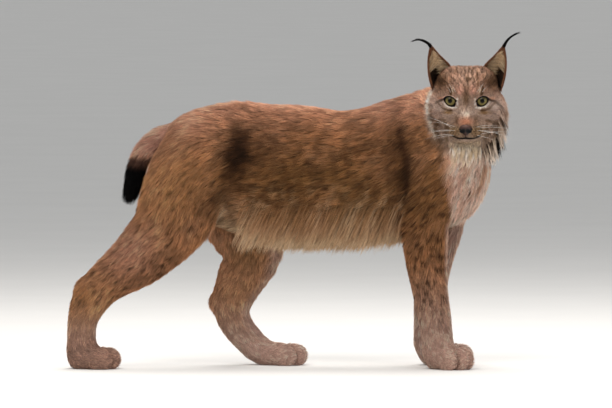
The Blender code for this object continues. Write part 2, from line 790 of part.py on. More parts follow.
def lid_ring(side):
    """A band on the eyeball, from the opening's edge out into the flesh, as thick as a lid."""
    opening = lid_edge()[0]
    deep, proud = EYE_RADIUS - 0.001, EYE_RADIUS + LID_THICKNESS
    rows = [
        (opening, deep),
        (opening, proud),
        ((opening + LID_REACH) / 2, proud + 0.0005),
        (LID_REACH, proud - 0.001),
        (LID_REACH, deep - 0.002),
    ]
    faces = grid_faces(len(rows) + 1, LID_COLUMNS)
    count = len(rows) * LID_COLUMNS
    faces = [tuple(corner % count for corner in face) for face in faces]
    return facing_out(object_of("lid", rings_round_eye(side, rows), faces))


def lid_opening(side):
    """A cone from inside the eyeball out through the opening's edge, a little wider."""
    opening = lid_edge()[0] + 0.05
    points = rings_round_eye(side, [(opening, EYE_RADIUS / 2), (opening, 2 * EYE_RADIUS)])
    ends = [tuple(range(LID_COLUMNS)), tuple(range(LID_COLUMNS, 2 * LID_COLUMNS))]
    return facing_out(object_of("opening", points, grid_faces(2, LID_COLUMNS) + ends))


def ear_shell(name, side):
    """A cup: across each row a parabola through the inner edge, the back and the outer edge."""
    inner, back, outer = [smooth_rows(edge, EAR_ROWS_BETWEEN)[:-1, None] for edge in (EAR_INNER, EAR_BACK, EAR_OUTER)]
    across = np.linspace(-1, 1, EAR_COLUMNS)[None, :, None]
    middle = back + (outer - inner) / 2 * across + ((outer + inner) / 2 - back) * np.abs(across) ** 2.4
    normal = np.cross(np.gradient(middle, axis=0), np.gradient(middle, axis=1))
    normal *= EAR_THICKNESS / 2 * (1 - 0.55 * np.abs(across) ** 3) / np.linalg.norm(normal, axis=-1, keepdims=True)
    ring = np.concatenate([middle - normal, (middle + normal)[:, ::-1]], axis=1)
    rows, columns = ring.shape[:2]
    points = np.vstack([ring.reshape(-1, 3), EAR_BACK[-1]])
    faces = grid_faces(rows, columns) + [tuple(range(columns))]
    last = (rows - 1) * columns
    faces += [(last + column, last + (column + 1) % columns, rows * columns) for column in range(columns)]
    return facing_out(object_of(name, side_frame(side).outward(points), faces))


def ear_tuft(name, side):
    """The black pencil on the ear's tip: locks that share a root and part a little towards their ends."""
    line = np.array(TUFTS[side])
    share = np.linspace(0, 1, len(line))
    width = TUFT_HALF_WIDTH * (1 - 0.7 * share)
    locks = []
    for spread, shorter in TUFT_SPREAD:
        path = line[0] + (line - line[0]) * shorter + share[:, None] ** 1.3 * [0.4 * spread, 0.0, spread]
        locks.append(strand(HEAD.outward(path), width, 0.6 * width, FORWARD))
    tuft = locks.pop(0)
    tuft.name = name
    combine(tuft, locks, "UNION")
    keep_largest(tuft)
    return tuft


def locks_from(rows, frame, forms, half_width, lift, draw):
    """Flat, tapered locks rooted on the surface: each lifts off it along its lie and bends back at its tip."""
    roots, outward = onto_surface(frame.outward(rows[:, :3]), forms)
    share = np.array(LOCK_SHARES)[:, None]
    width = half_width * np.array(LOCK_WIDTHS)
    locks = []
    for root, normal, row in zip(roots, outward, rows):
        lie = row[3:6] @ frame.axes + draw.normal(0, LOCK_SPLAY, 3)
        lie -= normal * min(0, lie @ normal)
        length = row[6] * draw.uniform(*LOCK_LENGTHS)
        path = root + length * share * lie / np.linalg.norm(lie) + lift * np.array(LOCK_LIFTS)[:, None] * normal
        locks.append(strand(path, width, LOCK_THINNESS * width, normal))
    return locks


def ruff_locks(forms, side, draw):
    """The ruff of one side, in tiers from below the ear to the jaw, each tier half a lock from the one before."""
    table = np.array(RUFF)
    tiers = []
    for tier, (ahead, longer) in enumerate(RUFF_TIERS):
        places = (np.arange(RUFF_LOCKS) + 0.25 + 0.5 * (tier % 2)) / RUFF_LOCKS * (len(table) - 1)
        rows = np.stack([np.interp(places, range(len(table)), column) for column in table.T], -1)
        rows[:, 0] += ahead
        rows[:, 6] *= longer
        tiers.append(rows)
    return locks_from(np.vstack(tiers), side_frame(side), forms, RUFF_HALF_WIDTH, RUFF_LIFT, draw)


def fringe_locks(forms, draw):
    """The belly's long hair: a run of locks on each side, overlapping as they hang down and back."""
    back, inward, down = FRINGE_LIE
    rows = []
    for across, height, first, last, count, length in FRINGE:
        lie = (back, -math.copysign(inward, across), down)
        rows += [(along, across, height, *lie, length) for along in np.linspace(first, last, count)]
    return locks_from(np.array(rows), BODY, forms, FRINGE_HALF_WIDTH, FRINGE_LIFT, draw)


def groove(path, forms):
    """A thin wedge sunk into the surface along a path in the head's frame."""
    points, outward = onto_surface(HEAD.outward(path), forms)
    sizes = np.ones(len(points))
    return strand(points, MOUTH_DEPTH * sizes, MOUTH_HALF_WIDTH * sizes, np.cross(outward, np.gradient(points, axis=0)))


def mouth_cutters(forms):
    """The line between the lips from corner to corner, and the short line up to the nose."""
    half = np.array(MOUTH)
    mirrored = half[:0:-1] * [1, -1, 1]
    return [groove(smooth_rows(np.vstack([mirrored, half]), 2), forms), groove(smooth_rows(PHILTRUM, 2), forms)]


def nose_pad(name):
    """The bare leather of the nose, with a comma-shaped nostril cut in each side."""
    forms = ellipsoids(NOSE, NOSE_BLEND, HEAD)
    reach = 0.03
    middle = HEAD.outward(NOSE[0][:3])
    nose = object_of(name, *surface_net(forms, middle - reach, middle + reach, NOSE_STEP))
    thin_out(nose, NOSE_TRIANGLES)
    for side in (-1, 1):
        path = side_frame(side).outward(smooth_rows(NOSTRIL, 2))
        sizes = np.full(len(path), NOSTRIL_HALF)
        combine(nose, [strand(path, sizes, sizes, [0, 0, 1], sides=6)], "DIFFERENCE")
    keep_largest(nose)
    return nose


def build_flesh(forms):
    """The trunk, legs and tail: meshed whole to the floor, then parted limb by limb."""
    low, high = np.array([-0.562, -0.16, -0.02]), np.array([0.56, 0.20, 0.74])
    torso = object_of("torso", *surface_net(forms, low, high, FLESH_STEP))
    thin_out(torso, FLESH_TRIANGLES)
    combine(torso, [half_space(((0, 0, 0), (0, 0, 1)))], "INTERSECT")
    combine(torso, [half_space(HEAD_CUT)], "DIFFERENCE")
    keep_largest(torso)
    pieces = [torso]
    for limb in LIMBS:
        piece = part_off(torso, limb.names[0], limb_cutter(limb))
        pieces.append(piece)
        for name, (place, way) in zip(limb.names[1:], limb.cuts):
            cut = ((place[0], 0, place[1]), (way[0], 0, way[1]))
            piece = part_off(piece, name, half_space(cut))
            pieces.append(piece)
    tail = part_off(torso, "tail", prism(TAIL_OUTLINE, lambda z: -TAIL_HALF, TAIL_HALF))
    pieces += [tail, part_off(tail, "tail_tip", half_space(TAIL_TIP_CUT))]
    pieces.append(part_off(torso, "neck", half_space(NECK_CUT)))
    combine(torso, fringe_locks(forms, np.random.default_rng(LOCK_SEED)), "UNION")
    cut_clear(torso, [piece for piece in pieces if piece.name.startswith(("shoulder", "forearm", "thigh"))])
    return pieces


def build_head(forms, below):
    """The head with its ruff, lids and mouth, clear of what is below, and the nose, eyes, ears and tufts on it."""
    low, high = np.array([0.24, -0.20, 0.40]), np.array([0.54, 0.16, 0.74])
    head = object_of("head", *surface_net(forms, low, high, HEAD_STEP))
    thin_out(head, HEAD_TRIANGLES)
    place, way = HEAD_CUT
    combine(head, [half_space((Vector(place) + Vector(way) * PART_GAP, way))], "INTERSECT")
    keep_largest(head)
    draw = np.random.default_rng(LOCK_SEED)
    combine(head, ruff_locks(forms, -1, draw) + ruff_locks(forms, 1, draw), "UNION")
    cut_clear(head, below)
    combine(head, mouth_cutters(forms), "DIFFERENCE")
    nose = nose_pad("nose")
    cut_clear(head, [nose])
    pieces = [head, nose]
    for side, word in ((-1, "right"), (1, "left")):
        combine(head, [lid_opening(side)], "DIFFERENCE")
        combine(head, [lid_ring(side)], "UNION")
        combine(head, [eyeball("socket", side, EYE_RADIUS + PART_GAP)], "DIFFERENCE", "MANIFOLD")
        keep_largest(head)
        pieces.append(eyeball(f"eye_{word}", side, EYE_RADIUS))
    for side, word in ((-1, "right"), (1, "left")):
        tuft = ear_tuft(f"tuft_{word}", side)
        ear = ear_shell(f"ear_{word}", side)
        cut_clear(ear, [head, tuft], solver="MANIFOLD")
        pieces += [ear, tuft]
    return pieces


def finish(piece):
    """Gives the piece its own material, in the coat's colour there, and smooth shading."""
    kind = piece.name if piece.name in FINISHES else piece.name.rsplit("_", 1)[0]
    screen, roughness = FINISHES[kind]
    tint = [((value / 255 + 0.055) / 1.055) ** 2.4 for value in screen]
    material = bpy.data.materials.new(piece.name)
    material.use_nodes = True
    shader = material.node_tree.nodes["Principled BSDF"]
    shader.inputs["Base Color"].default_value = (*tint, 1)
    shader.inputs["Roughness"].default_value = roughness
    shader.inputs["Metallic"].default_value = 0
    piece.data.materials.clear()
    piece.data.materials.append(material)
    piece.data.shade_smooth()
    piece.data.set_sharp_from_angle(angle=math.radians(50))


def main():
    for old in list(bpy.data.objects):
        bpy.data.objects.remove(old)
    forms = flesh_forms() + head_forms()
    flesh = build_flesh(forms)
    below = [piece for piece in flesh if piece.name in ("neck", "torso", "shoulder_right", "shoulder_left")]
    for piece in flesh + build_head(forms, below):
        finish(piece)


if __name__ == "__main__":
    main()
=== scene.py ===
"""A standing Eurasian lynx: one skin under its coat, with eyes, lids, nose, ears and whiskers.

Metres, +Z up. The body points along +X and the face looks along -Y.
"""

import json
import math
from typing import Callable, NamedTuple

import bmesh
import bpy
import numpy as np
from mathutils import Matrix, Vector

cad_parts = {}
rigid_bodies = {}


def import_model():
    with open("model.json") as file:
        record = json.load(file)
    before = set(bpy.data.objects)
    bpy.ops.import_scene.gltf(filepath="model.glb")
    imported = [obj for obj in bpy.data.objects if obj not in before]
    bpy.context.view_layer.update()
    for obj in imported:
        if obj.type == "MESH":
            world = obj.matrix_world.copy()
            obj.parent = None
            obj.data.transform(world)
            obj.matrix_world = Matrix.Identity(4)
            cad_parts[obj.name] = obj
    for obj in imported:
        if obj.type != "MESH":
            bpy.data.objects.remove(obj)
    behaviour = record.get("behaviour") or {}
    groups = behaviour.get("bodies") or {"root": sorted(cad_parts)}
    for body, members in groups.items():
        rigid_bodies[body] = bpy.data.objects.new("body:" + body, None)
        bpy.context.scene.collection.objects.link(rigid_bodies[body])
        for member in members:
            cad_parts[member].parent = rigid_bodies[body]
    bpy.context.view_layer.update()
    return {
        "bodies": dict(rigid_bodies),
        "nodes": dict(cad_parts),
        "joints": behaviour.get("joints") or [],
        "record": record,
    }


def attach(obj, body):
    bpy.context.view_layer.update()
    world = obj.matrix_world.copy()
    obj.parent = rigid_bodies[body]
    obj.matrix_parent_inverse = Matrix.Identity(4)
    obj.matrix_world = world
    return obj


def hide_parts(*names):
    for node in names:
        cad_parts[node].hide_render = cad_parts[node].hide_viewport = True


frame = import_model()

# Driving dimensions, in metres
MID_PLANE_Y = 0.020
EYE_HEIGHT = 0.612
EYE_RADIUS = 0.0163
HEAD_YAW = math.radians(3.0)
PAW_LENGTH = 0.112
PAW_WIDTH = 0.088
PAW_HEIGHT = 0.055
PAW_SIZE = np.array([PAW_LENGTH, PAW_WIDTH, PAW_HEIGHT])

SKIN_STEP = 0.0055
NOSE_STEP = 0.0008

TRUNK_BLEND = 0.045
LEG_BLEND = 0.032
TAIL_BLEND = 0.014
TOE_BLEND = 0.008
SKULL_BLEND = 0.028
FACE_BLEND = 0.016
LIP_BLEND = 0.008
NOSE_BLEND = 0.004
FAR = 1.0

# Stations along each tube: x, y, z, half width across the body, half depth.
# The heights are those of the coat's outer surface.
TORSO = [
    (-0.225, 0.000, 0.487, 0.060, 0.085),
    (-0.190, 0.000, 0.484, 0.078, 0.118),
    (-0.137, 0.000, 0.466, 0.086, 0.147),
    (-0.060, 0.000, 0.446, 0.088, 0.159),
    (0.015, 0.000, 0.437, 0.093, 0.164),
    (0.107, 0.000, 0.433, 0.098, 0.157),
    (0.187, 0.000, 0.439, 0.098, 0.155),
    (0.256, 0.000, 0.448, 0.094, 0.154),
    (0.315, 0.000, 0.440, 0.086, 0.125),
    (0.360, 0.000, 0.430, 0.068, 0.090),
]
NECK = [
    (0.215, 0.000, 0.486, 0.078, 0.101),
    (0.270, -0.002, 0.524, 0.076, 0.095),
    (0.325, -0.010, 0.555, 0.072, 0.088),
    (0.372, -0.026, 0.580, 0.066, 0.078),
]
THROAT = [
    (0.345, 0.000, 0.400, 0.070, 0.074),
    (0.368, -0.006, 0.455, 0.072, 0.080),
    (0.384, -0.024, 0.520, 0.070, 0.072),
]
FORE_RIGHT = [
    (0.262, -0.048, 0.545, 0.034, 0.050),
    (0.285, -0.056, 0.480, 0.042, 0.064),
    (0.308, -0.062, 0.410, 0.044, 0.070),
    (0.303, -0.066, 0.340, 0.041, 0.060),
    (0.305, -0.068, 0.250, 0.036, 0.050),
    (0.313, -0.069, 0.180, 0.034, 0.043),
    (0.325, -0.070, 0.110, 0.033, 0.039),
    (0.331, -0.073, 0.055, 0.034, 0.037),
]
FORE_LEFT = [
    (0.270, 0.048, 0.540, 0.034, 0.050),
    (0.305, 0.056, 0.480, 0.042, 0.064),
    (0.340, 0.062, 0.400, 0.044, 0.068),
    (0.342, 0.066, 0.330, 0.040, 0.056),
    (0.327, 0.067, 0.254, 0.035, 0.046),
    (0.317, 0.068, 0.190, 0.033, 0.041),
    (0.313, 0.069, 0.110, 0.032, 0.037),
    (0.312, 0.070, 0.055, 0.034, 0.036),
]
HIND_RIGHT = [
    (-0.205, -0.040, 0.505, 0.060, 0.088),
    (-0.236, -0.055, 0.440, 0.058, 0.096),
    (-0.258, -0.063, 0.370, 0.054, 0.098),
    (-0.282, -0.067, 0.326, 0.049, 0.086),
    (-0.315, -0.069, 0.288, 0.043, 0.077),
    (-0.356, -0.070, 0.248, 0.038, 0.067),
    (-0.424, -0.072, 0.198, 0.034, 0.050),
    (-0.461, -0.073, 0.157, 0.032, 0.045),
    (-0.479, -0.074, 0.108, 0.031, 0.036),
    (-0.482, -0.074, 0.055, 0.031, 0.034),
]
HIND_LEFT = [
    (-0.185, 0.040, 0.500, 0.060, 0.088),
    (-0.160, 0.056, 0.425, 0.058, 0.100),
    (-0.120, 0.066, 0.340, 0.052, 0.092),
    (-0.092, 0.069, 0.264, 0.044, 0.072),
    (-0.118, 0.071, 0.200, 0.036, 0.058),
    (-0.138, 0.072, 0.152, 0.032, 0.049),
    (-0.139, 0.073, 0.120, 0.031, 0.043),
    (-0.124, 0.074, 0.085, 0.031, 0.038),
    (-0.090, 0.075, 0.045, 0.031, 0.034),
]
# The points of the two hocks: x, y, z and three radii.
HOCKS = [
    (-0.471, -0.073, 0.184, 0.025, 0.017, 0.024),
    (-0.171, 0.072, 0.144, 0.024, 0.017, 0.023),
]
TAIL = [
    (-0.245, 0.000, 0.532, 0.036, 0.038),
    (-0.293, 0.000, 0.524, 0.031, 0.032),
    (-0.330, 0.000, 0.500, 0.028, 0.029),
    (-0.352, 0.000, 0.465, 0.026, 0.027),
    (-0.361, 0.000, 0.430, 0.026, 0.026),
    (-0.369, 0.000, 0.402, 0.022, 0.022),
]

# Each paw: heel x, heel y, heading in degrees from +X towards +Y.
PAWS = {
    "fore_right": (0.314, -0.066, -36.0),
    "fore_left": (0.301, 0.068, -8.0),
    "hind_right": (-0.505, -0.074, -4.0),
    "hind_left": (-0.078, 0.077, -14.0),
}
# The paw's back, its pad and its toes, as shares of its length, width and height: centres and radii.
PAW_BACK = ((0.30, 0.0, 0.36), (0.36, 0.38, 0.56))
PAW_PAD = ((0.46, 0.0, 0.42), (0.26, 0.42, 0.48))
TOES = [(0.61, -0.36), (0.76, -0.13), (0.76, 0.13), (0.61, 0.36)]
TOE_RISE = 0.39
TOE_RADII = (0.25, 0.150, 0.52)
# The grooves between the toes, as lines of forward and sideways shares.
TOE_GROOVES = [[(0.52, -0.215), (1.02, -0.285)], [(0.58, 0.0), (1.06, 0.0)], [(0.52, 0.215), (1.02, 0.285)]]

# The head's ellipsoids: forward, left, up, then the same three radii, from between the eyes.
# A left value other than 0 is made on both sides.
SKULL = [
    (-0.042, 0.000, 0.018, 0.050, 0.058, 0.061),
    (-0.044, 0.036, 0.032, 0.044, 0.037, 0.044),
    (-0.062, 0.000, -0.004, 0.040, 0.058, 0.058),
    (-0.002, 0.000, 0.014, 0.030, 0.036, 0.028),
    (-0.018, 0.050, -0.016, 0.034, 0.033, 0.036),
    (-0.014, 0.038, -0.058, 0.033, 0.033, 0.034),
    (-0.018, 0.000, -0.068, 0.045, 0.045, 0.034),
    (-0.030, 0.054, -0.026, 0.026, 0.023, 0.044),
    (-0.020, 0.042, -0.072, 0.026, 0.022, 0.030),
]
BRIDGE = [
    (0.010, 0.000, 0.014, 0.019, 0.018),
    (0.032, 0.000, -0.022, 0.019, 0.018),
    (0.049, 0.000, -0.050, 0.017, 0.016),
]
FACE = [
    (0.018, 0.024, -0.042, 0.025, 0.025, 0.025),
    (0.006, 0.040, -0.050, 0.028, 0.024, 0.028),
    (0.026, 0.000, -0.058, 0.034, 0.037, 0.034),
    (0.007, 0.038, 0.000, 0.020, 0.025, 0.023),
    (0.010, 0.034, 0.020, 0.016, 0.022, 0.010),
    (0.004, 0.050, -0.019, 0.018, 0.020, 0.012),
]
LIPS = [
    (0.042, 0.0185, -0.0685, 0.023, 0.0205, 0.0165),
    (0.036, 0.000, -0.086, 0.022, 0.022, 0.0125),
]
NOSE = [
    (0.060, 0.000, -0.0605, 0.012, 0.0138, 0.0088),
    (0.061, 0.000, -0.0690, 0.0095, 0.0068, 0.0092),
    (0.060, 0.0085, -0.0660, 0.0095, 0.0060, 0.0064),
]
# A nostril's path with its two half sizes, in the head's frame.
NOSTRIL = [
    (0.076, 0.0040, -0.0655, 0.0028, 0.0028),
    (0.069, 0.0068, -0.0680, 0.0028, 0.0028),
    (0.065, 0.0116, -0.0665, 0.0022, 0.0022),
    (0.063, 0.0156, -0.0650, 0.0014, 0.0014),
]
# The line of the mouth and the groove from the nose down to it, seen from the front: left and up.
MOUTH = [(0.0000, -0.0836), (0.0080, -0.0846), (0.0180, -0.0840), (0.0260, -0.0818), (0.0315, -0.0788)]
PHILTRUM = [(0.0, -0.0740), (0.0, -0.0836)]
MUZZLE_BACK = 0.018

# The cheeks' outer edge, seen from the front: the height where it is widest, and how far out it is there.
CHEEK_WIDEST = -0.015
CHEEK_REACH = 0.094

EYE_CENTRE = (0.0142, 0.0364, 0.0)
EYE_TURN = math.radians(1.0)
LID_HALF_WIDTH = 0.0130
LID_UPPER_HEIGHT = 0.0086
LID_LOWER_HEIGHT = 0.0100
LID_CORNER = 0.34
LID_SLANT = 0.26
LID_PROUD = 0.0018
LID_BAND = 0.36
LID_FLESH = 0.011
LID_COLUMNS = 72
LID_ROWS = 18

# Each ear's inner edge, back and outer edge from root to tip: forward, left and up.
EAR_INNER = [(-0.040, 0.026, 0.060), (-0.040, 0.042, 0.082), (-0.038, 0.062, 0.101), (-0.036, 0.0835, 0.125)]
EAR_BACK = [(-0.066, 0.058, 0.036), (-0.062, 0.070, 0.070), (-0.050, 0.078, 0.100), (-0.036, 0.0835, 0.125)]
EAR_OUTER = [(-0.016, 0.078, 0.020), (-0.020, 0.087, 0.056), (-0.028, 0.089, 0.090), (-0.036, 0.0835, 0.125)]
EAR_THICKNESS = 0.0034
EAR_COLUMNS = 41
EAR_ROWS_BETWEEN = 16

# The tufts' middle lines from each ear's tip: the right one droops and the left one rises.
TUFTS = {
    -1: [
        (-0.036, -0.080, 0.114),
        (-0.036, -0.088, 0.128),
        (-0.037, -0.103, 0.136),
        (-0.040, -0.117, 0.137),
        (-0.044, -0.131, 0.131),
    ],
    1: [
        (-0.036, 0.081, 0.114),
        (-0.036, 0.086, 0.128),
        (-0.038, 0.095, 0.140),
        (-0.041, 0.107, 0.149),
        (-0.045, 0.124, 0.156),
    ],
}

TRUNK_DEPTH = 0.0080
LEG_DEPTH = 0.0042
PAW_DEPTH = 0.0024
FACE_DEPTH = 0.0026

# The picture: how far off the camera stands, how much it takes in at that distance, and the floor.
CAMERA_DISTANCE = 20.0
PICTURE_WIDTH = 1.400
FLOOR_HALF_WIDTH = 60.0

# Colours, as screen values
RUST = (0.72, 0.49, 0.33)
GOLD = (0.93, 0.67, 0.45)
TAN = (0.95, 0.70, 0.61)
BROW = (0.57, 0.41, 0.33)
BROWN = (0.50, 0.34, 0.18)
UMBER = (0.28, 0.175, 0.09)
DARK = (0.11, 0.065, 0.040)
BLACK = (0.016, 0.012, 0.016)
CREAM = (0.86, 0.76, 0.63)
STRAW = (0.80, 0.67, 0.53)
WHITE = (0.97, 0.92, 0.87)
OCHRE = (0.57, 0.39, 0.18)
PINK = (0.93, 0.76, 0.70)
GREY = (0.75, 0.63, 0.56)
OLIVE = (0.66, 0.52, 0.37)
ORANGE = (0.92, 0.60, 0.45)

# Soft patches on both sides of the body: x, z, half sizes along them, colour and strength.
BODY_PATCHES = [
    (-0.05, 0.63, 0.36, 0.060, TAN, 0.90),
    (0.23, 0.60, 0.14, 0.050, TAN, 0.50),
    (-0.28, 0.56, 0.10, 0.070, TAN, 0.75),
    (-0.29, 0.40, 0.10, 0.110, GOLD, 0.80),
    (-0.36, 0.50, 0.05, 0.050, TAN, 0.85),
    (-0.38, 0.27, 0.09, 0.080, TAN, 0.60),
    (-0.46, 0.14, 0.06, 0.070, GOLD, 0.70),
    (0.02, 0.43, 0.22, 0.070, BROWN, 0.85),
    # Painted shade on the flank between the haunch and the ribs
    (-0.09, 0.52, 0.07, 0.050, UMBER, 0.45),
    (0.14, 0.38, 0.14, 0.050, BROWN, 0.60),
    # Painted shade behind the shoulder
    (0.21, 0.47, 0.04, 0.070, UMBER, 0.35),
    (0.30, 0.44, 0.05, 0.110, BROWN, 0.45),
    (0.33, 0.54, 0.025, 0.045, UMBER, 0.40),
    (-0.10, 0.26, 0.06, 0.050, OCHRE, 0.60),
    (-0.12, 0.15, 0.06, 0.060, GOLD, 0.60),
]
# Painted shade along the folds where the limbs meet the trunk, as lines of x and z.
HAUNCH_FOLD_SHADE = [(-0.133, 0.520), (-0.140, 0.450), (-0.171, 0.405), (-0.200, 0.355)]
SHOULDER_FOLD_SHADE = [(0.236, 0.535), (0.249, 0.480), (0.254, 0.430), (0.252, 0.365)]
# The painted shadow in the hollow before the haunch: x, z and its half sizes.
HAUNCH_HOLLOW_SHADE = ((-0.132, 0.490), (0.030, 0.048))
# Dark streaks of the cheek, as lines of left and up.
CHEEK_STREAKS = [
    [(0.086, -0.012), (0.084, -0.034), (0.074, -0.052), (0.062, -0.058)],
    [(0.050, -0.047), (0.066, -0.050), (0.078, -0.047)],
    [(0.070, -0.068), (0.062, -0.090), (0.052, -0.106)],
    [(0.046, -0.058), (0.049, -0.074), (0.046, -0.092)],
]


class Form(NamedTuple):
    """One shape of the field: its value at points, its box and its blend."""

    value: Callable
    low: np.ndarray
    high: np.ndarray
    blend: float


class Frame(NamedTuple):
    """A local frame: its origin, and its three axes as rows."""

    origin: np.ndarray
    axes: np.ndarray

    def inward(self, points):
        return (np.asarray(points, float) - self.origin) @ self.axes.T

    def outward(self, points):
        return np.asarray(points, float) @ self.axes + self.origin


BODY = Frame(np.array([0.0, MID_PLANE_Y, 0.0]), np.eye(3))
FORWARD = np.array([-math.sin(HEAD_YAW), -math.cos(HEAD_YAW), 0.0])
LEFTWARD = np.array([math.cos(HEAD_YAW), -math.sin(HEAD_YAW), 0.0])
HEAD = Frame(
    np.array([0.396, MID_PLANE_Y - 0.085, EYE_HEIGHT]),
    np.array([FORWARD, LEFTWARD, [0.0, 0.0, 1.0]]),
)


def unit(vectors):
    return vectors / np.maximum(np.linalg.norm(vectors, axis=-1, keepdims=True), 1e-9)


def eased(values, low, high):
    """0 below low and 1 above high, with the cubic 3 t^2 - 2 t^3 between them."""
    share = np.clip((values - low) / (high - low), 0, 1)
    return share**2 * (3 - 2 * share)


def lattice(cells, seed):
    """An even random number from 0 to 1 for each whole-number cell, from a hash of its three numbers."""
    parts = cells.astype(np.int64).astype(np.uint32)
    mash = parts[..., 0] * np.uint32(73856093) ^ parts[..., 1] * np.uint32(19349663)
    mash = mash ^ parts[..., 2] * np.uint32(83492791) ^ np.uint32(seed * 2654435 + 97)
    for shift, factor in ((16, 0x7FEB352D), (15, 0x846CA68B), (16, 1)):
        mash = (mash ^ (mash >> np.uint32(shift))) * np.uint32(factor)
    return mash / 4294967295.0


def noise(points, size, seed):
    """Smooth random values from -1 to 1: lattice numbers blended with eased shares between cells of a size."""
    scaled = np.asarray(points) / size
    base = np.floor(scaled)
    share = scaled - base
    share = share * share * (3 - 2 * share)
    total = np.zeros(len(scaled))
    for corner in np.ndindex(2, 2, 2):
        weight = np.prod(np.where(np.array(corner), share, 1 - share), axis=1)
        total += weight * lattice(base + corner, seed)
    return 2 * total - 1


def nearest_seed(points, size, seed):
    """The nearest of the points scattered one to a cell, its distance and a random number of its own."""
    base = np.floor(points / size)
    axes = points.shape[1]
    best = np.full(len(points), np.inf)
    found = np.zeros_like(points)
    token = np.zeros(len(points))
    for corner in np.ndindex(*[3] * axes):
        cell = base + np.array(corner) - 1
        numbers = np.pad(cell, ((0, 0), (0, 3 - axes)))
        spot = (cell + np.stack([lattice(numbers, seed + axis) for axis in range(axes)], -1)) * size
        away = ((points - spot) ** 2).sum(-1)
        closer = away < best
        best[closer] = away[closer]
        found[closer] = spot[closer]
        token[closer] = lattice(numbers[closer], seed + 7)
    return found, np.sqrt(best), token


def smooth_rows(rows, pieces):
    """Rows read from the Catmull-Rom curve through the given rows, with so many pieces between two."""
    rows = np.asarray(rows, float)
    padded = np.vstack([2 * rows[0] - rows[1], rows, 2 * rows[-1] - rows[-2]])
    share = np.linspace(0, 1, pieces, endpoint=False)[:, None]
    found = []
    for before, start, end, after in zip(padded, padded[1:], padded[2:], padded[3:]):
        found.append(
            start
            + share * (end - before) / 2
            + share**2 * (2 * before - 5 * start + 4 * end - after) / 2
            + share**3 * (3 * start - 3 * end + after - before) / 2
        )
    return np.vstack(found + [rows[-1:]])


def ellipsoid_distance(offsets, radii):
    """Near distance to an ellipsoid: k0 (k0 - 1) / k1, of the offsets over the radii and over their squares."""
    scaled = np.sqrt(((offsets / radii) ** 2).sum(-1))
    squared = np.sqrt(((offsets / radii**2) ** 2).sum(-1))
    return scaled * (scaled - 1) / np.maximum(squared, 1e-6)


def tube(stations, blend, frame=BODY, pieces=3):
    """An elliptical profile carried along the smooth path through the stations, round at its ends."""
    rows = smooth_rows(stations, pieces)
    centres = frame.outward(rows[:, :3])
    sizes = rows[:, 3:]

    def value(points):
        best = np.full(len(points), FAR)
        for start, end, first, last in zip(centres, centres[1:], sizes, sizes[1:]):
            along = end - start
            length = np.linalg.norm(along)
            along = along / length
            across = unit(frame.axes[1] - along * (frame.axes[1] @ along))
            share = np.clip((points - start) @ along / length, 0, 1)
            offset = points - start - share[:, None] * length * along
            size = first + share[:, None] * (last - first)
            local = np.stack([offset @ along, offset @ across, offset @ np.cross(along, across)], -1)
            radii = np.stack([size.mean(1), size[:, 0], size[:, 1]], -1)
            best = np.minimum(best, ellipsoid_distance(local, radii))
        return best

    reach = sizes.max()
    return Form(value, centres.min(0) - reach, centres.max(0) + reach, blend)


def ellipsoid(row, blend, frame):
    """An ellipsoid in a frame, from its centre and its three radii."""
    centre = np.array(row[:3])
    radii = np.array(row[3:])
    middle = frame.outward(centre)
    reach = radii.max()

    def value(points):
        return ellipsoid_distance(frame.inward(points) - centre, radii)

    return Form(value, middle - reach, middle + reach, blend)


def both_sides(row):
    """The row, and its mirror image where it isn't on the middle plane."""
    forward, left, *rest = row
    return [(forward, left, *rest), (forward, -left, *rest)] if left else [tuple(row)]


def ellipsoids(rows, blend, frame):
    """The ellipsoids of the rows, on both sides of the frame's middle plane."""
    return [ellipsoid(side, blend, frame) for row in rows for side in both_sides(row)]


def paw_frame(name):
    heel_x, heel_y, heading = PAWS[name]
    turn = math.radians(heading)
    ahead = [math.cos(turn), math.sin(turn), 0]
    aside = [-math.sin(turn), math.cos(turn), 0]
    return Frame(np.array([heel_x, heel_y + MID_PLANE_Y, 0.0]), np.array([ahead, aside, [0, 0, 1]]))


def paw(name):
    """A broad pad and back of the foot, with four toes fanned at its front."""
    frame = paw_frame(name)
    shapes = [(*PAW_BACK, LEG_BLEND), (*PAW_PAD, FACE_BLEND)]
    shapes += [((ahead, aside, TOE_RISE), TOE_RADII, TOE_BLEND) for ahead, aside in TOES]
    return [ellipsoid((*(centre * PAW_SIZE), *(radii * PAW_SIZE)), blend, frame) for centre, radii, blend in shapes]


def toe_groove(points):
    """1 along the grooves between the toes and 0 away from them, from the paw's top to just over the floor."""
    share = np.zeros(len(points))
    for name in PAWS:
        local = paw_frame(name).inward(points)
        ahead = eased(local[:, 0], 0.50 * PAW_LENGTH, 0.66 * PAW_LENGTH) * (local[:, 2] < PAW_HEIGHT)
        for line in TOE_GROOVES:
            away = line_distance(local[:, :2], np.array(line) * PAW_SIZE[:2])
            share = np.maximum(share, np.exp(-((away / 0.0020) ** 2)) * ahead)
    return share * eased(points[:, 2], 0.002, 0.010)


def flesh_forms():
    """Trunk, neck, legs, paws and tail."""
    forms = [tube(TORSO, TRUNK_BLEND), tube(NECK, TRUNK_BLEND), tube(THROAT, TRUNK_BLEND)]
    for leg in (FORE_RIGHT, FORE_LEFT, HIND_RIGHT, HIND_LEFT):
        forms.append(tube(leg, LEG_BLEND))
    forms += [ellipsoid(hock, FACE_BLEND, BODY) for hock in HOCKS]
    for name in PAWS:
        forms += paw(name)
    forms.append(tube(TAIL, TAIL_BLEND))
    return forms


def head_forms():
    """The skull and cheeks, then the bridge, muzzle and flesh round the eyes, and the lips and chin last."""
    forms = ellipsoids(SKULL, SKULL_BLEND, HEAD)
    forms.append(tube(BRIDGE, FACE_BLEND, HEAD))
    forms += ellipsoids(FACE, FACE_BLEND, HEAD)
    forms += ellipsoids(LIPS, LIP_BLEND, HEAD)
    return forms


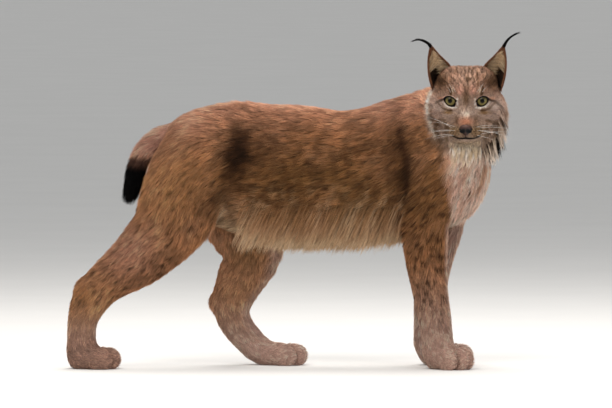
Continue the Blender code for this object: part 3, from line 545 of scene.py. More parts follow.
def blended(points, forms):
    """The field at points: the forms joined in turn by a quadratic smooth minimum."""
    field = np.full(len(points), FAR)
    for form in forms:
        margin = form.blend + 0.03
        near = ((points > form.low - margin) & (points < form.high + margin)).all(1)
        value = form.value(points[near])
        kept = field[near]
        overlap = np.maximum(form.blend - np.abs(kept - value), 0)
        field[near] = np.minimum(kept, value) - overlap**2 / (4 * form.blend)
    return field


def head_share(points):
    """1 on the head and 0 on the neck and body."""
    away = np.linalg.norm(HEAD.inward(points) - [-0.020, 0.0, -0.010], axis=-1)
    return 1 - eased(away, 0.098, 0.128)


def coat_depth(points):
    """How far the skin lies under the coat's tips: deep on the trunk, shallow on legs and paws, least on the face."""
    height = points[:, 2]
    depth = TRUNK_DEPTH + (LEG_DEPTH - TRUNK_DEPTH) * (1 - eased(height, 0.20, 0.34))
    depth += (PAW_DEPTH - LEG_DEPTH) * (1 - eased(height, 0.03, 0.10))
    ahead = HEAD.inward(points)[:, 0]
    face = head_share(points) * eased(ahead, -0.060, -0.010)
    return depth + (FACE_DEPTH - depth) * face


def sampled(field, low, counts, step, coarser=4):
    """The field on a grid, worked out only where a coarser grid shows that the surface is near."""
    rough_counts = np.ceil((counts - 1) / coarser).astype(int) + 1
    rough_points = low + coarser * step * np.indices(rough_counts).reshape(3, -1).T
    rough = field(rough_points).reshape(rough_counts)
    nearest = [np.round(np.arange(count) / coarser).astype(int) for count in counts]
    values = rough[np.ix_(*nearest)]
    near = np.argwhere(np.abs(values) < 1.3 * coarser * step)
    values[tuple(near.T)] = field(low + step * near)
    for axis in range(3):
        ends = np.moveaxis(values, axis, 0)
        ends[[0, -1]] = FAR
    return values


def surface_net(field, low, high, step):
    """Points and quads of the field's zero surface: a point in each crossed cell, at its mean crossing."""
    counts = np.ceil((np.asarray(high) - low) / step).astype(int) + 1
    values = sampled(field, low, counts, step)
    inside = values < 0
    corners = [(i, j, k) for i in (0, 1) for j in (0, 1) for k in (0, 1)]
    shape = counts - 1
    full = sum(inside[i : i + shape[0], j : j + shape[1], k : k + shape[2]].astype(int) for i, j, k in corners)
    cells = np.argwhere((full > 0) & (full < 8))
    number = np.full(shape, -1)
    number[tuple(cells.T)] = np.arange(len(cells))
    total = np.zeros((len(cells), 3))
    hits = np.zeros(len(cells))
    quads = []
    for axis in range(3):
        ahead = np.eye(3, dtype=int)[axis]
        first, second = [np.eye(3, dtype=int)[(axis + turn) % 3] for turn in (1, 2)]
        for corner in (0 * ahead, first, second, first + second):
            start = cells + corner
            here, there = values[tuple(start.T)], values[tuple((start + ahead).T)]
            cut = (here < 0) != (there < 0)
            share = here[cut] / (here[cut] - there[cut])
            total[cut] += corner + share[:, None] * ahead
            hits += cut
        edges = np.argwhere(inside != np.roll(inside, -1, axis))
        edges = edges[(edges < shape).all(1) & (edges + ahead > 0).all(1)]
        around = [number[tuple((edges - shift).T)] for shift in (0 * ahead, first, first + second, second)]
        ring = np.stack(around, -1)
        outward = inside[tuple(edges.T)]
        ring[~outward] = ring[~outward, ::-1]
        quads.append(ring)
    return low + step * (cells + total / hits[:, None]), np.vstack(quads)


def onto_surface(points, field, steps):
    """Points moved to the field's zero surface by Newton steps along its gradient."""
    nudge = 0.0005
    for _ in range(steps):
        here = field(points)
        gradient = np.stack([field(points + nudge * axis) - here for axis in np.eye(3)], -1) / nudge
        points = points - (here / np.maximum((gradient**2).sum(-1), 1e-6))[:, None] * gradient
    return points


def mesh_object(name, points, faces, smooth=True):
    """A mesh object from arrays of points and of faces that all have the same number of corners."""
    mesh = bpy.data.meshes.new(name)
    sides = faces.shape[1]
    mesh.vertices.add(len(points))
    mesh.vertices.foreach_set("co", np.ascontiguousarray(points, np.float32).ravel())
    mesh.loops.add(faces.size)
    mesh.loops.foreach_set("vertex_index", faces.astype(np.int32).ravel())
    mesh.polygons.add(len(faces))
    mesh.polygons.foreach_set("loop_start", np.arange(0, faces.size, sides, dtype=np.int32))
    mesh.update(calc_edges=True)
    if smooth:
        mesh.shade_smooth()
    made = bpy.data.objects.new(name, mesh)
    bpy.context.collection.objects.link(made)
    return made


def paint(piece, colours):
    """Stores a colour for each point, given as screen values from 0 to 1, as the attribute tint."""
    colours = np.clip(colours, 0, 1)
    linear = np.where(colours < 0.04045, colours / 12.92, ((colours + 0.055) / 1.055) ** 2.4)
    layer = piece.data.color_attributes.new("tint", "FLOAT_COLOR", "POINT")
    layer.data.foreach_set("color", np.hstack([linear, np.ones((len(linear), 1))]).astype(np.float32).ravel())


def mesh_arrays(piece):
    """The points, their normals and the triangles of a mesh object."""
    mesh = piece.data
    mesh.calc_loop_triangles()
    points = np.empty(len(mesh.vertices) * 3, np.float32)
    mesh.vertices.foreach_get("co", points)
    normals = np.empty(len(mesh.vertices) * 3, np.float32)
    mesh.vertices.foreach_get("normal", normals)
    triangles = np.empty(len(mesh.loop_triangles) * 3, np.int32)
    mesh.loop_triangles.foreach_get("vertices", triangles)
    return points.reshape(-1, 3).astype(float), normals.reshape(-1, 3).astype(float), triangles.reshape(-1, 3)


def write_points(piece, points):
    piece.data.vertices.foreach_set("co", np.ascontiguousarray(points, np.float32).ravel())
    piece.data.update()


def grid_faces(rows, columns, closed=True):
    """Quads between rows of points numbered one after another, each row closed into a ring or left open."""
    row, column = np.meshgrid(np.arange(rows - 1), np.arange(columns if closed else columns - 1), indexing="ij")
    after = (column + 1) % columns
    ring = [row * columns + column, row * columns + after, (row + 1) * columns + after, (row + 1) * columns + column]
    return np.stack(ring, -1).reshape(-1, 4)


def facing_out(piece, merge=0.0):
    """The piece with its faces turned outward, and with points nearer than merge made one."""
    bm = bmesh.new()
    bm.from_mesh(piece.data)
    if merge:
        bmesh.ops.remove_doubles(bm, verts=bm.verts, dist=merge)
    bmesh.ops.recalc_face_normals(bm, faces=bm.faces)
    bm.to_mesh(piece.data)
    bm.free()
    piece.data.shade_smooth()
    return piece


# The coat's lie


def body_guides():
    """Points along the trunk, legs, paws and tail, with the way the hair lies there, a reach and a kind."""
    tubes = [
        (TORSO, -1, "trunk"),
        (NECK, -1, "trunk"),
        (THROAT, -1, "trunk"),
        (FORE_RIGHT, 1, "fore_right"),
        (FORE_LEFT, 1, "fore_left"),
        (HIND_RIGHT, 1, "hind_right"),
        (HIND_LEFT, 1, "hind_left"),
        (TAIL, 1, "tail"),
    ]
    found = []
    for table, sign, kind in tubes:
        rows = smooth_rows(table, 3)
        found.append((BODY.outward(rows[:, :3]), sign, kind, rows[:, 3:].mean(1)))
    for name in PAWS:
        along = np.linspace(0.15, 0.95, 5)[:, None] * [PAW_LENGTH, 0, 0] + [0, 0, 0.4 * PAW_HEIGHT]
        found.append((paw_frame(name).outward(along), 1, name, np.full(len(along), 0.030)))
    places = np.vstack([points for points, _, _, _ in found])
    ways = np.vstack([unit(np.gradient(points, axis=0)) * sign for points, sign, _, _ in found])
    kinds = np.concatenate([[kind] * len(points) for points, _, kind, _ in found])
    reaches = np.concatenate([reach for _, _, _, reach in found])
    return places, ways, kinds, reaches


GUIDES = body_guides()


def guided(points):
    """The guides' ways blended by exp(-3 distance / reach) at each point, and the kind of the nearest."""
    places, ways, kinds, reaches = GUIDES
    way = np.zeros_like(points)
    kind = np.empty(len(points), kinds.dtype)
    for start in range(0, len(points), 20000):
        part = points[start : start + 20000]
        away = np.sqrt(((part[:, None] - places) ** 2).sum(-1)) / reaches
        way[start : start + 20000] = np.exp(-3 * away) @ ways
        kind[start : start + 20000] = kinds[away.argmin(1)]
    return unit(way), kind


NOSE_ROOT = (0.062, 0.0, -0.048)


def along_skin(ways, normals):
    return unit(ways - normals * (ways * normals).sum(-1, keepdims=True))


def coat_way(points, normals):
    """The way the hair lies: along the guides and a little down on the body, away from the nose on the head."""
    way, kind = guided(points)
    way[:, 2] -= 0.30 * (kind == "trunk")
    local = HEAD.inward(points)
    ray = unit(local - NOSE_ROOT)
    ray[:, 2] -= 0.45 * eased(-local[:, 2], -0.01, 0.03)
    head = head_share(points)
    way = unit(way) * (1 - head)[:, None] + head[:, None] * (unit(ray) @ HEAD.axes)
    return along_skin(way, normals), kind


# The coat's colours


def laid(colours, colour, share):
    """The colours with another laid over them by a share from 0 to 1."""
    share = np.clip(share, 0, 1)[:, None]
    return colours + (np.array(colour) - colours) * share


def filled(points, colour):
    return np.tile(np.array(colour, float), (len(points), 1))


def spots(points, size, radius, seed, kept):
    """Round spots, one to a cell where its number is under kept, with soft edges."""
    _, away, token = nearest_seed(points, size, seed)
    radii = radius * (0.65 + 0.7 * token / kept)
    return np.where(token < kept, 1 - eased(away, 0.6 * radii, 1.35 * radii), 0)


def line_distance(points, line):
    """Each point's distance from a line through the given points."""
    line = np.asarray(line, float)
    best = np.full(len(points), FAR)
    for start, end in zip(line, line[1:]):
        along = end - start
        share = np.clip((points - start) @ along / (along @ along), 0, 1)
        best = np.minimum(best, np.linalg.norm(points - start - share[:, None] * along, axis=-1))
    return best


def on_line(points, line, half):
    """1 on a line through the given points and 0 further off than half a width, with an eased edge."""
    return 1 - eased(line_distance(points, line), 0.5 * half, 1.3 * half)


def front_distance(local, line):
    """How far points of the head lie from a line seen from the front; far for those behind the muzzle."""
    away = line_distance(local[:, 1:], smooth_rows(line, 3))
    return np.where(local[:, 0] > MUZZLE_BACK, away, FAR)


def patch(local, centre, radii):
    """A soft spot in the head's frame: exp of minus the scaled distance squared."""
    return np.exp(-(((local - centre) / radii) ** 2).sum(-1))


def body_colour(points, normals, kind):
    """Rust and tan above, brown flanks, cream below, pale legs inside, spots, and a black tail tip."""
    x, y, z = points.T
    side_view = points[:, [0, 2]] + 0.005 * np.stack([noise(points, 0.016, seed) for seed in (13, 14)], -1)
    colours = filled(points, RUST)
    for place_x, place_z, reach_x, reach_z, colour, strength in BODY_PATCHES:
        share = strength * np.exp(-(((x - place_x) / reach_x) ** 2) - ((z - place_z) / reach_z) ** 2)
        colours = laid(colours, colour, share)
    trunk = kind == "trunk"
    legs = ~trunk & (kind != "tail")
    fore = (kind == "fore_right") | (kind == "fore_left")
    hind = (kind == "hind_right") | (kind == "hind_left")
    grain = noise(points, 0.040, 3)
    colours = laid(colours, UMBER, 0.22 * np.clip(grain, 0, 1))
    colours = laid(colours, TAN, 0.20 * np.clip(-grain, 0, 1))
    # Lengthwise dark streaks on the back, upright pale and dark ones on the lower flanks
    level = noise(points * [0.30, 1.0, 1.0], 0.008, 6)
    colours = laid(colours, UMBER, 0.45 * np.clip(level - 0.1, 0, 1) * eased(z, 0.48, 0.55) * trunk)
    streaks = noise(points * [1.0, 1.0, 0.30], 0.010, 5)
    low = eased(0.44 - z, 0.0, 0.07) * trunk
    colours = laid(colours, STRAW, 0.70 * np.clip(1.3 * streaks, 0, 1) * low)
    colours = laid(colours, UMBER, 0.45 * np.clip(-1.2 * streaks, 0, 1) * eased(0.56 - z, 0.0, 0.10) * trunk)
    colours = laid(colours, STRAW, 0.85 * eased(0.345 - z, 0.0, 0.055) * trunk)
    # Painted shade in the folds before the haunch and behind the shoulder, with a dark painted shadow in the hollow
    middle, radii = HAUNCH_HOLLOW_SHADE
    hollow = np.exp(-(((side_view - middle) / radii) ** 2).sum(-1))
    haunch = np.exp(-((line_distance(side_view, HAUNCH_FOLD_SHADE) / 0.026) ** 2))
    crease = np.exp(-((line_distance(side_view, SHOULDER_FOLD_SHADE) / 0.0075) ** 2))
    behind = np.exp(-((line_distance(side_view, SHOULDER_FOLD_SHADE[:3]) / 0.024) ** 2))
    colours = laid(colours, UMBER, np.maximum(0.55 * haunch, 0.40 * behind))
    ragged = 0.80 + 0.35 * noise(points, 0.020, 9)
    colours = laid(colours, DARK, np.maximum(0.90 * hollow * ragged, 0.75 * crease))
    # The underside and the chest are pale
    under = eased(-normals[:, 2], 0.15, 0.8) * trunk
    colours = laid(colours, CREAM, 0.70 * under)
    chest = trunk * eased(x, 0.325, 0.372) * eased(0.560 - z, 0.0, 0.05)
    colours = laid(colours, PINK, 0.85 * chest)
    ribbons = noise(points * [1, 1, 0.22], 0.009, 8)
    colours = laid(colours, WHITE, 0.60 * chest * np.clip(0.2 + 1.4 * ribbons, 0, 1))
    colours = laid(colours, BROWN, 0.35 * chest * np.clip(-1.5 * ribbons, 0, 1) * eased(x, 0.37, 0.41))
    # Legs: paler down to the paws, on their inner sides and along their front edges
    side = np.sign(y - MID_PLANE_Y)
    inner = eased(-normals[:, 1] * side, 0.1, 0.7) * eased(0.36 - z, 0, 0.06)
    edge = eased(normals[:, 0] - 0.3 * normals[:, 1] * side, 0.50, 0.90)
    front = edge * (fore * eased(0.46 - z, 0, 0.08) + hind * eased(0.33 - z, 0, 0.05))
    colours = laid(colours, BROWN, 0.30 * fore * eased(0.46 - z, 0, 0.10) * eased(z, 0.20, 0.32))
    colours = laid(colours, PINK, inner * (0.75 * fore + 0.20 * hind))
    colours = laid(colours, PINK, 0.75 * front)
    colours = laid(colours, PINK, 0.85 * eased(0.26 - z, 0, 0.19) * fore)
    colours = laid(colours, PINK, 0.85 * eased(0.17 - z, 0, 0.13) * hind)
    unrolled = np.stack([x + 0.8 * side * (y - MID_PLANE_Y), 1.4 * z + 0.3 * side], -1)
    dotted = spots(unrolled, 0.021, 0.0056, 11, 0.80)
    colours = laid(colours, DARK, 0.85 * dotted * fore * eased(z, 0.07, 0.17) * eased(0.44 - z, 0, 0.08) * (1 - 0.7 * front))
    fine = spots(unrolled, 0.019, 0.0040, 17, 0.70) * (1 - 0.8 * inner) * (1 - front)
    colours = laid(colours, DARK, 0.70 * fine * hind * eased(0.48 - z, 0, 0.10) * eased(z, 0.08, 0.18))
    flank = spots(unrolled, 0.034, 0.0080, 23, 0.70)
    colours = laid(colours, UMBER, 0.60 * flank * trunk * eased(0.56 - z, 0, 0.08) * eased(z, 0.33, 0.38) * (1 - chest))
    # Painted shade in the grooves between the toes
    colours = laid(colours, UMBER, 0.75 * toe_groove(points))
    colours = laid(colours, TAN, 0.85 * (kind == "tail") * eased(z, 0.46, 0.49))
    colours = laid(colours, BROW, 0.45 * hind * eased(0.09 - z, 0, 0.04) * eased(-0.30 - x, 0, 0.05))
    tip = eased(0.468 - z, -0.006, 0.006) * (kind == "tail")
    return laid(colours, BLACK, tip)


def cheek_edge(up):
    """How far aside the cheek reaches at each height: an arc, widest a little below the eyes."""
    height = up.clip(-0.085, 0.034) - CHEEK_WIDEST
    return CHEEK_REACH - np.where(height > 0, 9.0, 3.7) * height**2


def cheek_rim(aside, up):
    """1 on the outer edge of the cheeks, below the ears, and 0 on the face within it."""
    edge = cheek_edge(up)
    return eased(aside, edge - 0.009, edge - 0.003) * eased(0.034 - up, 0, 0.02)


def face_colour(points):
    """The head's markings, mirrored about its middle."""
    local = HEAD.inward(points)
    side = np.sign(local[:, 1])
    local[:, 1] = np.abs(local[:, 1])
    ahead, aside, up = local.T
    flat = local[:, 1:]
    colours = filled(points, GREY)
    colours = laid(colours, BROW, 0.90 * eased(up, -0.004, 0.030))
    colours = laid(colours, GREY, 0.45 * patch(local, (0.0, 0.0, 0.060), (0.05, 0.030, 0.035)))
    colours = laid(colours, UMBER, 0.85 * patch(flat, (0.061, 0.046), (0.018, 0.020)))
    # Broken dark streaks on the forehead
    bend = aside + 0.0050 * noise(points, 0.014, 31)
    stripe = np.cos((bend - 0.0045) / 0.0100 * 2 * math.pi)
    broken = np.clip(0.35 + 1.5 * noise(points, 0.011, 33), 0, 1)
    area = eased(up, 0.024, 0.036) * (1 - eased(aside, 0.034, 0.046)) * eased(ahead, -0.10, -0.06)
    colours = laid(colours, UMBER, 0.75 * eased(stripe, -0.2, 0.9) * broken * area)
    # The bridge of the nose: dark between the eyes, then grey, then orange above the nose
    colours = laid(colours, UMBER, 0.75 * patch(local, (0.034, 0.0, 0.006), (0.05, 0.0090, 0.020)))
    colours = laid(colours, WHITE, 0.70 * patch(local, (0.045, 0.0, -0.030), (0.05, 0.015, 0.010)))
    colours = laid(colours, ORANGE, 0.95 * patch(local, (0.052, 0.0, -0.047), (0.05, 0.021, 0.0125)))
    colours = laid(colours, UMBER, 0.60 * patch(local, (0.050, 0.0230, -0.042), (0.03, 0.0040, 0.010)))
    # Pale brow spots, a dark stroke over each eye, white beside and under the eye
    colours = laid(colours, TAN, 0.90 * patch(flat, (0.0160, 0.0250), (0.0085, 0.0090)))
    colours = laid(colours, CREAM, 0.75 * patch(flat, (0.031, 0.024), (0.0035, 0.0060)))
    colours = laid(colours, UMBER, 0.80 * on_line(flat, [(0.038, 0.030), (0.035, 0.015)], 0.0034))
    colours = laid(colours, WHITE, 0.95 * on_line(flat, [(0.0205, 0.006), (0.0200, -0.009)], 0.0020))
    colours = laid(colours, ORANGE, 0.60 * patch(flat, (0.060, 0.006), (0.009, 0.0035)))
    outer_line = [(0.052, 0.004), (0.066, -0.002), (0.078, -0.012)]
    colours = laid(colours, DARK, 0.80 * on_line(flat, outer_line, 0.0028))
    # A dark line of painted shadow beneath the lower lid
    below = [(0.066, -0.004), (0.054, -0.0165), (0.042, -0.0215), (0.034, -0.0215)]
    colours = laid(colours, UMBER, 0.80 * on_line(flat, below, 0.0026))
    colours = laid(colours, OCHRE, 0.75 * patch(flat, (0.042, -0.0265), (0.0100, 0.0035)))
    under_eye = [(0.0540, -0.002), (0.046, -0.0115), (0.034, -0.0155), (0.022, -0.0150)]
    colours = laid(colours, WHITE, 0.95 * on_line(flat, under_eye, 0.0018))
    # Cheeks: pale, with dark streaks that curve down and back, and a white outer edge
    colours = laid(colours, WHITE, 0.45 * patch(flat, (0.066, -0.014), (0.014, 0.010)))
    wavy = flat + 0.004 * noise(points, 0.010, 35)[:, None]
    for line in CHEEK_STREAKS:
        colours = laid(colours, UMBER, 0.62 * on_line(wavy, line, 0.0060) * (0.8 + 0.5 * noise(points, 0.008, 36)))
    colours = laid(colours, PINK, 0.40 * patch(flat, (0.072, -0.020), (0.018, 0.030)))
    colours = laid(colours, WHITE, 0.85 * cheek_rim(aside, up))
    # Whisker pads with rows of dark dots
    pad = patch(local, (0.050, 0.024, -0.069), (0.030, 0.017, 0.013))
    colours = laid(colours, OLIVE, 0.90 * np.clip(1.4 * pad, 0, 1))
    row = (up + 0.0790 - 0.10 * (aside - 0.02)) / 0.0052
    dots = np.cos(row * 2 * math.pi) + np.cos((aside / 0.0062 + 0.5 * np.round(row)) * 2 * math.pi)
    across_pad = eased(aside, 0.011, 0.015) * (1 - eased(aside, 0.034, 0.040))
    inside = across_pad * eased(up, -0.083, -0.079) * (1 - eased(up, -0.060, -0.054))
    colours = laid(colours, DARK, 0.90 * eased(dots, 0.5, 1.3) * inside * eased(ahead, 0.02, 0.035))
    # Mouth, chin and throat
    chin = patch(local, (0.030, 0.0, -0.108), (0.05, 0.036, 0.018))
    colours = laid(colours, CREAM, 0.95 * np.clip(1.4 * chin, 0, 1))
    colours = laid(colours, WHITE, 0.60 * eased(-up, 0.095, 0.115) * (1 - eased(aside, 0.025, 0.045)))
    # Black lips along the mouth line, made wider towards the middle by painted shadow along the lower lip
    mouth = front_distance(local, MOUTH)
    colours = laid(colours, BLACK, 0.97 * (1 - eased(mouth, 0.0010, 0.0029 - 0.02 * aside.clip(0, 0.04))))
    colours = laid(colours, BLACK, 0.85 * (1 - eased(front_distance(local, PHILTRUM), 0.0006, 0.0018)))
    grain = noise(points, 0.009, 37) + 0.15 * side * noise(points, 0.020, 39)
    colours = laid(colours, UMBER, 0.30 * np.clip(grain, 0, 1))
    return laid(colours, CREAM, 0.18 * np.clip(-grain, 0, 1))


def coat_colour(points, normals, kind):
    """The body's colours and the face's, blended where the head meets the neck."""
    local = HEAD.inward(points)
    ahead = eased(local[:, 0], -0.072, -0.055) * head_share(points)
    beyond = -local[:, 1] - cheek_edge(local[:, 2])
    mixture = (ahead * (1 - eased(beyond, 0.000, 0.004)))[:, None]
    return body_colour(points, normals, kind) * (1 - mixture) + face_colour(points) * mixture


# Materials


def principled(name, roughness, specular=0.3):
    material = bpy.data.materials.new(name)
    material.use_nodes = True
    shader = material.node_tree.nodes["Principled BSDF"]
    shader.inputs["Roughness"].default_value = roughness
    shader.inputs["Specular IOR Level"].default_value = specular
    return material, material.node_tree, shader


def node(tree, kind, **values):
    """A node with the given properties and input values."""
    made = tree.nodes.new(kind)
    for name, value in values.items():
        if hasattr(made, name):
            setattr(made, name, value)
        else:
            made.inputs[name.replace("_", " ")].default_value = value
    return made


def object_noise(tree, scale, detail=2.0):
    """Noise on Object coordinates."""
    place = node(tree, "ShaderNodeTexCoord")
    made = node(tree, "ShaderNodeTexNoise", Scale=scale, Detail=detail)
    tree.links.new(place.outputs["Object"], made.inputs["Vector"])
    return made


def coat_material(name, roughness=0.8, variation=0.22, scale=180.0, bump=0.0, specular=0.10):
    """The tint attribute, made lighter and darker by noise, with an optional bump."""
    material, tree, shader = principled(name, roughness, specular)
    tint = node(tree, "ShaderNodeAttribute", attribute_name="tint")
    speckle = object_noise(tree, scale)
    spread = node(tree, "ShaderNodeMapRange")
    spread.inputs["To Min"].default_value = 1 - variation
    spread.inputs["To Max"].default_value = 1 + variation
    tree.links.new(speckle.outputs["Fac"], spread.inputs["Value"])
    scaled = node(tree, "ShaderNodeVectorMath", operation="SCALE")
    tree.links.new(tint.outputs["Color"], scaled.inputs[0])
    tree.links.new(spread.outputs["Result"], scaled.inputs["Scale"])
    tree.links.new(scaled.outputs["Vector"], shader.inputs["Base Color"])
    if bump:
        relief = node(tree, "ShaderNodeBump", Distance=bump)
        tree.links.new(object_noise(tree, 900.0, 3.0).outputs["Fac"], relief.inputs["Height"])
        tree.links.new(relief.outputs["Normal"], shader.inputs["Normal"])
    return material


def finish(piece, material, slot, *nodes):
    """Gives a piece its material and body, and hides the solids it stands for. Its slot is not used."""
    piece.data.materials.append(material)
    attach(piece, "root")
    if nodes:
        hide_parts(*nodes)


# Skin


def side_frame(side):
    """The head's frame for side 1, its left, or its mirror image for side -1, its right."""
    return Frame(HEAD.origin, HEAD.axes * np.array([1, side, 1])[:, None])


def eye_frame(side):
    """The eyeball's frame: along its gaze, towards the outer corner, up."""
    head = side_frame(side)
    turned = np.array([
        [math.cos(EYE_TURN), math.sin(EYE_TURN), 0],
        [-math.sin(EYE_TURN), math.cos(EYE_TURN), 0],
        [0, 0, 1],
    ])
    return Frame(head.outward(np.array(EYE_CENTRE)), turned @ head.axes)


def lid_opening(heading):
    """The angle from the gaze to the lids' edge at each heading: an almond a little raised outside."""
    turns = np.linspace(0, 2 * math.pi, 721)
    height = np.where(np.sin(turns) > 0, LID_UPPER_HEIGHT, LID_LOWER_HEIGHT)
    across = LID_HALF_WIDTH * np.cos(turns)
    upward = height * np.sin(turns) * np.abs(np.sin(turns)) ** LID_CORNER + LID_SLANT * across
    angle = np.arcsin(np.hypot(across, upward) / EYE_RADIUS)
    found = np.unwrap(np.arctan2(upward, across))
    return np.interp((heading - found[0]) % (2 * math.pi) + found[0], found, angle)


def eye_place(points, side):
    """How far round from the lids' edge each point is, in radians, and its distance from the eyeball's centre."""
    local = eye_frame(side).inward(points)
    radius = np.maximum(np.linalg.norm(local, axis=-1), 1e-6)
    angle = np.arccos(np.clip(local[:, 0] / radius, -1, 1))
    return angle - lid_opening(np.arctan2(local[:, 2], local[:, 1])), radius


def sink_round_eye(points, side):
    """The skin drawn in behind the eyeball within the lids' band, and eased back to its own surface outside it."""
    eye = eye_frame(side)
    past, radius = eye_place(points, side)
    outside = eased(radius, EYE_RADIUS + LID_FLESH - 0.004, EYE_RADIUS + LID_FLESH)
    share = np.maximum(eased(past, 0.08, LID_BAND), outside)
    target = (EYE_RADIUS - 0.0025) * (1 - share) + radius * share
    return eye.outward(eye.inward(points) * (target / radius)[:, None])


def face_relief(points, normals):
    """The line of the mouth sunk into the lips, which swell beside it, and a crease down from each eye."""
    local = HEAD.inward(points)
    local[:, 1] = np.abs(local[:, 1])
    away = front_distance(local, MOUTH)
    rise = -0.0036 * np.exp(-((away / 0.0018) ** 2)) + 0.0008 * np.exp(-(((away - 0.0046) / 0.0022) ** 2))
    rise -= 0.0018 * np.exp(-((front_distance(local, PHILTRUM) / 0.0012) ** 2))
    rise -= 0.0014 * on_line(local, [(0.036, 0.018, -0.006), (0.044, 0.017, -0.030), (0.050, 0.020, -0.052)], 0.005)
    return points + rise[:, None] * normals


def toes_of(points, start):
    """True at the front of each paw, from a share of its length on."""
    fronts = [paw_frame(name).inward(points)[:, 0] / PAW_LENGTH for name in PAWS]
    near = [(front > start) & (front < 1.2) for front in fronts]
    return np.any(near, axis=0) & (points[:, 2] < PAW_HEIGHT)


def build_skin(field):
    """The zero surface of the field, four times finer on the face and the toes, with flat soles."""
    low, high = np.array([-0.562, -0.16, -0.02]), np.array([0.56, 0.20, 0.74])
    points, quads = surface_net(field, low, high, SKIN_STEP)
    skin = mesh_object("skin", points, quads)
    bm = bmesh.new()
    bm.from_mesh(skin.data)
    for reach, start in ((0.112, 0.46), (0.104, 0.52)):
        points = np.array([vertex.co[:] for vertex in bm.verts])
        local = HEAD.inward(points)
        chosen = (np.linalg.norm(local - [0.0, 0, -0.02], axis=-1) < reach) & (local[:, 0] > -0.040)
        chosen |= toes_of(points, start)
        bm.verts.index_update()
        edges = [edge for edge in bm.edges if chosen[edge.verts[0].index] and chosen[edge.verts[1].index]]
        bmesh.ops.subdivide_edges(bm, edges=edges, cuts=1, use_grid_fill=True)
    bmesh.ops.triangulate(bm, faces=[face for face in bm.faces if len(face.verts) > 4])
    bm.to_mesh(skin.data)
    bm.free()
    points, normals, _ = mesh_arrays(skin)
    head = head_share(points) > 0
    finer = head | toes_of(points, 0.40)
    points[finer] = onto_surface(points[finer], field, 2)
    write_points(skin, points)
    points, normals, _ = mesh_arrays(skin)
    points[head] = face_relief(points[head], normals[head])
    points -= 0.0038 * toe_groove(points)[:, None] * normals
    for side in (-1, 1):
        points[head] = sink_round_eye(points[head], side)
    points[:, 2] = np.maximum(points[:, 2], 0.0004)
    write_points(skin, points)
    skin.data.shade_smooth()
    return skin


def build_lids(name, side, field):
    """A band from inside the lids' edge, over a round rim, out to the skin; each row is a ring of angle and radius."""
    eye = eye_frame(side)
    heading = np.linspace(0, 2 * math.pi, LID_COLUMNS, endpoint=False)
    edge = lid_opening(heading)
    share = np.linspace(0, 1, LID_ROWS)[:, None] ** 1.2
    angle = edge + (LID_BAND + 0.02) * share
    ray = np.stack([np.cos(angle), np.sin(angle) * np.cos(heading), np.sin(angle) * np.sin(heading)], -1)
    radii = np.linspace(EYE_RADIUS - 0.004, EYE_RADIUS + LID_FLESH, 24)
    tested = eye.outward((ray[..., None, :] * radii[:, None]).reshape(-1, 3))
    values = field(tested).reshape(*angle.shape, len(radii))
    inside = (values < 0).sum(-1).clip(1, len(radii) - 1)
    before = np.take_along_axis(values, inside[..., None] - 1, -1)[..., 0]
    after = np.take_along_axis(values, inside[..., None], -1)[..., 0]
    surface = radii[inside - 1] + (radii[1] - radii[0]) * np.clip(before / np.minimum(before - after, -1e-9), 0, 1)
    ease = eased(share, 0.10, 0.95)
    radius = (EYE_RADIUS + LID_PROUD) * (1 - ease) + (surface - 0.0005) * ease
    rim = [(edge + 0.10, EYE_RADIUS - 0.0012), (edge + 0.015, EYE_RADIUS - 0.0004), (edge - 0.02, EYE_RADIUS + 0.0007)]
    angles = np.vstack([row[0][None] for row in rim] + [angle])
    radii = np.vstack([np.full((1, LID_COLUMNS), row[1]) for row in rim] + [radius])
    ray = np.stack([np.cos(angles), np.sin(angles) * np.cos(heading), np.sin(angles) * np.sin(heading)], -1)
    points = eye.outward((ray * radii[..., None]).reshape(-1, 3))
    return facing_out(mesh_object(name, points, grid_faces(len(angles), LID_COLUMNS)))


def lid_colour(points, side):
    """The face's colours, with the bare rim of the lids black."""
    past, _ = eye_place(points, side)
    return laid(face_colour(points), BLACK, 1 - eased(past, 0.13, 0.22))


def build_eye(name, side):
    """A ball of rings of angle and heading about its gaze, with the cornea bulging over the iris."""
    heading = np.linspace(0, 2 * math.pi, 65)
    angle = np.linspace(0, math.pi, 49)[:, None]
    radius = EYE_RADIUS + 0.0009 * (1 - eased(angle, 0.35, 0.85))
    ray = [np.cos(angle) + 0 * heading, np.sin(angle) * np.cos(heading), np.sin(angle) * np.sin(heading)]
    points = eye_frame(side).outward((np.stack(ray, -1) * radius[..., None]).reshape(-1, 3))
    faces = grid_faces(49, 65, closed=False)
    ball = mesh_object(name, points, faces)
    layer = ball.data.uv_layers.new(name="Polar")
    turns = np.broadcast_to(heading / (2 * math.pi), (49, 65))
    polar = np.stack([turns, np.broadcast_to(angle / math.pi, (49, 65))], -1)
    layer.data.foreach_set("uv", polar.reshape(-1, 2)[faces.ravel()].astype(np.float32).ravel())
    return facing_out(ball, merge=1e-6)


def ramp(tree, stops):
    """A colour ramp from places and screen colours."""
    made = tree.nodes.new("ShaderNodeValToRGB")
    points = made.color_ramp.elements
    while len(points) < len(stops):
        points.new(0.5)
    for point, (place, colour) in zip(points, stops):
        point.position = place
        point.color = (*[((value + 0.055) / 1.055) ** 2.4 if value > 0.04 else value / 12.92 for value in colour], 1)
    return made


